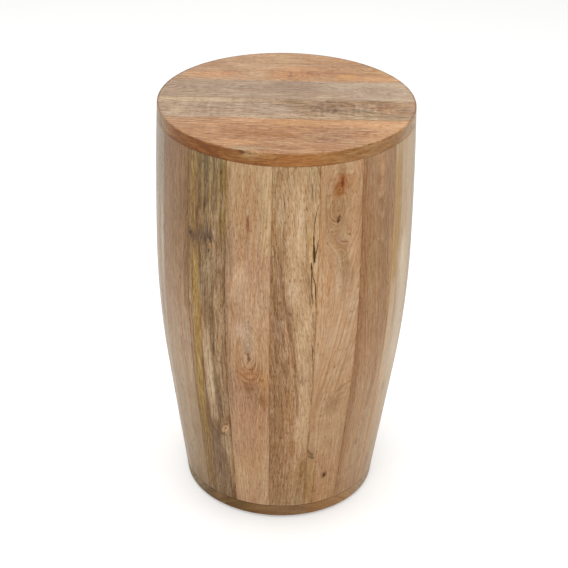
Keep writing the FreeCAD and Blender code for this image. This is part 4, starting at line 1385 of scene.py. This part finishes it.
def base_material():
    """The base boards: deep brown oil on the turned rim, bare wood underneath."""
    nodes = Nodes(bpy.data.materials.new("mango_base_dark"))
    x, y, z = nodes.parts(nodes.table_place())
    grain = nodes.add("CombineXYZ", {0: nodes.math("ADD", y, z), 1: x})[0]
    broad = nodes.noise(grain, BASE_BROAD_FIBRES, 3.0)
    fine = nodes.noise(grain, BASE_FINE_FIBRES, 2.0, 0.6)
    vessel = nodes.step(nodes.noise(grain, BASE_PORES, 1.0), 0.13, 0.22)
    oiled = rgba(BASE_RIM_TONES[0][1])
    for (low, code), (high, next_code) in zip(BASE_RIM_TONES[:-1], BASE_RIM_TONES[1:]):
        share = nodes.add("MapRange", {"Value": x, "From Min": low, "From Max": high})[0]
        oiled = nodes.mix(share, oiled, rgba(next_code))
    bare = nodes.mix(nodes.step(broad, -0.2, 0.2), *[rgba(code) for code in BASE_BARE_TONES])
    down = nodes.step(nodes.parts(nodes.add("NewGeometry", {})["Normal"])[2], -0.6, -0.8)
    colour = nodes.mix(down, oiled, bare)
    edge = nodes.step(z, BASE_HEAD, BASE_HEAD + 1.0)
    joint = nodes.step(nodes.math("PINGPONG", y, BASE_BOARD_WIDTH / 2.0), *BASE_JOINT_FADE)
    joint = nodes.math("MULTIPLY", joint, nodes.step(nodes.math("ABSOLUTE", y), *BASE_JOINTS_END))
    depth = nodes.total((broad, 0.8), (fine, 0.4), (vessel, 0.3), (edge, 0.35), (joint, 0.8))
    roughness = nodes.total((fine, 0.25), (vessel, 0.15), level=BASE_ROUGHNESS)
    bumps = nodes.total((vessel, -1.0), (fine, -0.6), (joint, -1.5))
    return nodes.finish(nodes.deepened(colour, depth), roughness, BASE_SHINE, bumps, BASE_BUMP)


# For each: two tones, size of its clouds and of its finer grain in millimetres, how deep they colour it,
# its roughness, shine, metal and bump height in metres.
PLAIN_MATERIALS = {
    "birch_plywood": ("c8a878", "a8835a", (40.0, 40.0, 2.8), (9.0, 0.5, 2.0), 0.6, 0.62, 0.4, 0.0, 2e-4),
    "beech_dowels": ("cfa679", "b58a5e", (0.6, 12.0, 0.6), (0.5, 3.0, 0.5), 0.4, 0.60, 0.4, 0.0, 1e-4),
    "beech_tongues": ("cfa679", "b58a5e", (0.6, 0.6, 12.0), (0.5, 0.5, 3.0), 0.4, 0.60, 0.4, 0.0, 1e-4),
    "zinc_plated_steel": ("b9bcc0", "9a9ca0", (2.5, 2.5, 2.5), (0.15, 1.2, 0.15), 0.1, 0.36, 0.5, 1.0, 3e-5),
    "moulded_nylon": ("4a3a2e", "6f6052", (0.6, 5.0, 0.6), (0.35, 0.35, 0.35), 0.2, 0.45, 0.5, 0.0, 5e-5),
}


def plain_material(name):
    """A material that drifts between two tones in clouds, with finer grain over them."""
    first, second, cloud_size, grain_size, depth, level, shine, metal, bump_height = PLAIN_MATERIALS[name]
    nodes = Nodes(bpy.data.materials.new(name))
    place = nodes.table_place()
    cloud = nodes.noise(place, cloud_size, 3.0)
    grain = nodes.noise(place, grain_size)
    colour = nodes.mix(nodes.step(cloud, -0.25, 0.25), rgba(first), rgba(second))
    colour = nodes.deepened(colour, nodes.total((cloud, depth), (grain, depth)))
    roughness = nodes.total((cloud, 0.2), (grain, 0.25), level=level)
    bumps = nodes.total((cloud, -0.4), (grain, -1.0))
    return nodes.finish(colour, roughness, shine, bumps, bump_height, Metallic=metal)


# ---- the table ----

STAVE_KIND_NAMES = (
    "streaky", "peach", "brown", "cream", "tan", "olive", "rose", "peach", "streaky",
    "tan", "brown", "olive", "cream", "rose", "tan", "rose", "olive", "tan",
)
# How plain the fibres are in each kind of stave, and the fibres and the pores in each board of the top.
STAVE_FIBRES = {
    "streaky": 1.35, "olive": 1.45, "peach": 1.05, "brown": 1.0, "tan": 1.05, "cream": 0.7, "rose": 1.0,
}
TOP_FIBRES = {
    "top_peach": (1.2, 1.2), "top_taupe": (1.0, 0.9), "top_heart": (1.5, 1.9), "top_amber": (1.4, 1.5),
}
BASE_BOARDS = 4
FRAME_MATERIALS = {
    "birch_plywood": ("upper_ring", "lower_ring"),
    "beech_dowels": ("top_board_dowels", "base_board_dowels"),
    "beech_tongues": ("stave_tongues",),
    "zinc_plated_steel": ("top_fixing_screws", "base_fixing_screws", "glide_nails"),
    "moulded_nylon": ("floor_glides",),
}


def stand_for(piece, material, node):
    """Puts a piece in the place of one of the construction's own."""
    piece.data.materials.append(material)
    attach(piece, "root")
    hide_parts(node)


def build_staves():
    """The 18 staves, with one material for each kind."""
    slots = {kind: f"mango_{kind}" for kind in STAVE_FIBRES}
    materials = {kind: wood_material(slots[kind], fibres, fibres) for kind, fibres in STAVE_FIBRES.items()}
    for number, kind in enumerate(STAVE_KIND_NAMES, start=1):
        stand_for(make_stave(number), materials[kind], f"stave_{number:02d}")


def build_top():
    """The four boards of the top, each with its own material."""
    for number, (slot, fibres) in enumerate(TOP_FIBRES.items(), start=1):
        stand_for(make_top_board(number), wood_material(slot, *fibres), f"top_board_{number}")


def dress(node, material):
    """A material for one of the construction's own pieces that stay as they are."""
    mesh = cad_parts[node].data
    mesh.materials.clear()
    mesh.materials.append(material)


def dress_frame():
    """Materials for the base, the rings, the dowels, the tongues and the hardware."""
    for name, nodes in FRAME_MATERIALS.items():
        material = plain_material(name)
        for node in nodes:
            dress(node, material)
    base = base_material()
    for number in range(1, BASE_BOARDS + 1):
        dress(f"base_board_{number}", base)


build_staves()
build_top()
dress_frame()


# ---- stage: white surroundings, pale floor, soft lamps ----

WORLD_DIFFUSE = 0.55
WORLD_SHINE = 1.0
FLOOR_COLOUR = (0.80, 0.80, 0.79, 1.0)
FLOOR_GLOW = 0.30
FLOOR_SIZE = 4.4
FLOOR_DROP = 0.0002
SOFTBOX_AIM = (0.0, 0.0, 0.35)
# For each: its place, its width and height, and its power in watts.
SOFTBOXES = {
    "overhead_softbox": ((0.0, 0.1, 2.6), (2.4, 2.0), 50.0),
    "front_softbox": ((-0.4, -2.6, 1.4), (2.4, 1.6), 27.0),
}


def add_world():
    """White where the camera or a reflection looks, and a plain soft level where it lights the table."""
    nodes = Nodes(bpy.data.worlds.new("surroundings"))
    path = nodes.add("LightPath", {})
    seen = nodes.math("MAXIMUM", path["Is Camera Ray"], path["Is Glossy Ray"])
    seen = nodes.math("MAXIMUM", seen, path["Is Transmission Ray"])
    strength = nodes.total((seen, WORLD_SHINE - WORLD_DIFFUSE), level=WORLD_DIFFUSE)
    nodes.set(nodes.tree.nodes["Background"], {"Color": WHITE, "Strength": strength})
    bpy.context.scene.world = nodes.owner


def floor_material():
    """Pale matt paint that reads as white paper to the camera and still takes the table's shadow."""
    nodes = Nodes(bpy.data.materials.new("floor_paper"))
    glow = nodes.math("MULTIPLY", nodes.add("LightPath", {})["Is Camera Ray"], FLOOR_GLOW)
    return nodes.finish(FLOOR_COLOUR, 1.0, 0.0, Emission_Color=WHITE, Emission_Strength=glow)


def add_floor():
    """The pale plain floor, a hair below the glides."""
    half = FLOOR_SIZE / 2.0
    mesh = bpy.data.meshes.new("floor")
    corners = [(-half, -half, 0), (half, -half, 0), (half, half, 0), (-half, half, 0)]
    mesh.from_pydata(corners, [], [(0, 1, 2, 3)])
    mesh.materials.append(floor_material())
    floor = bpy.data.objects.new("floor", mesh)
    floor.location.z = -FLOOR_DROP
    bpy.context.scene.collection.objects.link(floor)


def add_softbox(name, place, size, power):
    """A soft lamp that is aimed at the table's middle."""
    data = bpy.data.lights.new(name, "AREA")
    data.shape = "RECTANGLE"
    data.size, data.size_y = size
    data.energy = power
    add_aimed(name, data, place, SOFTBOX_AIM)


add_world()
add_floor()
for softbox, settings in SOFTBOXES.items():
    add_softbox(softbox, *settings)


bpy.context.scene.view_settings.view_transform = "Standard"
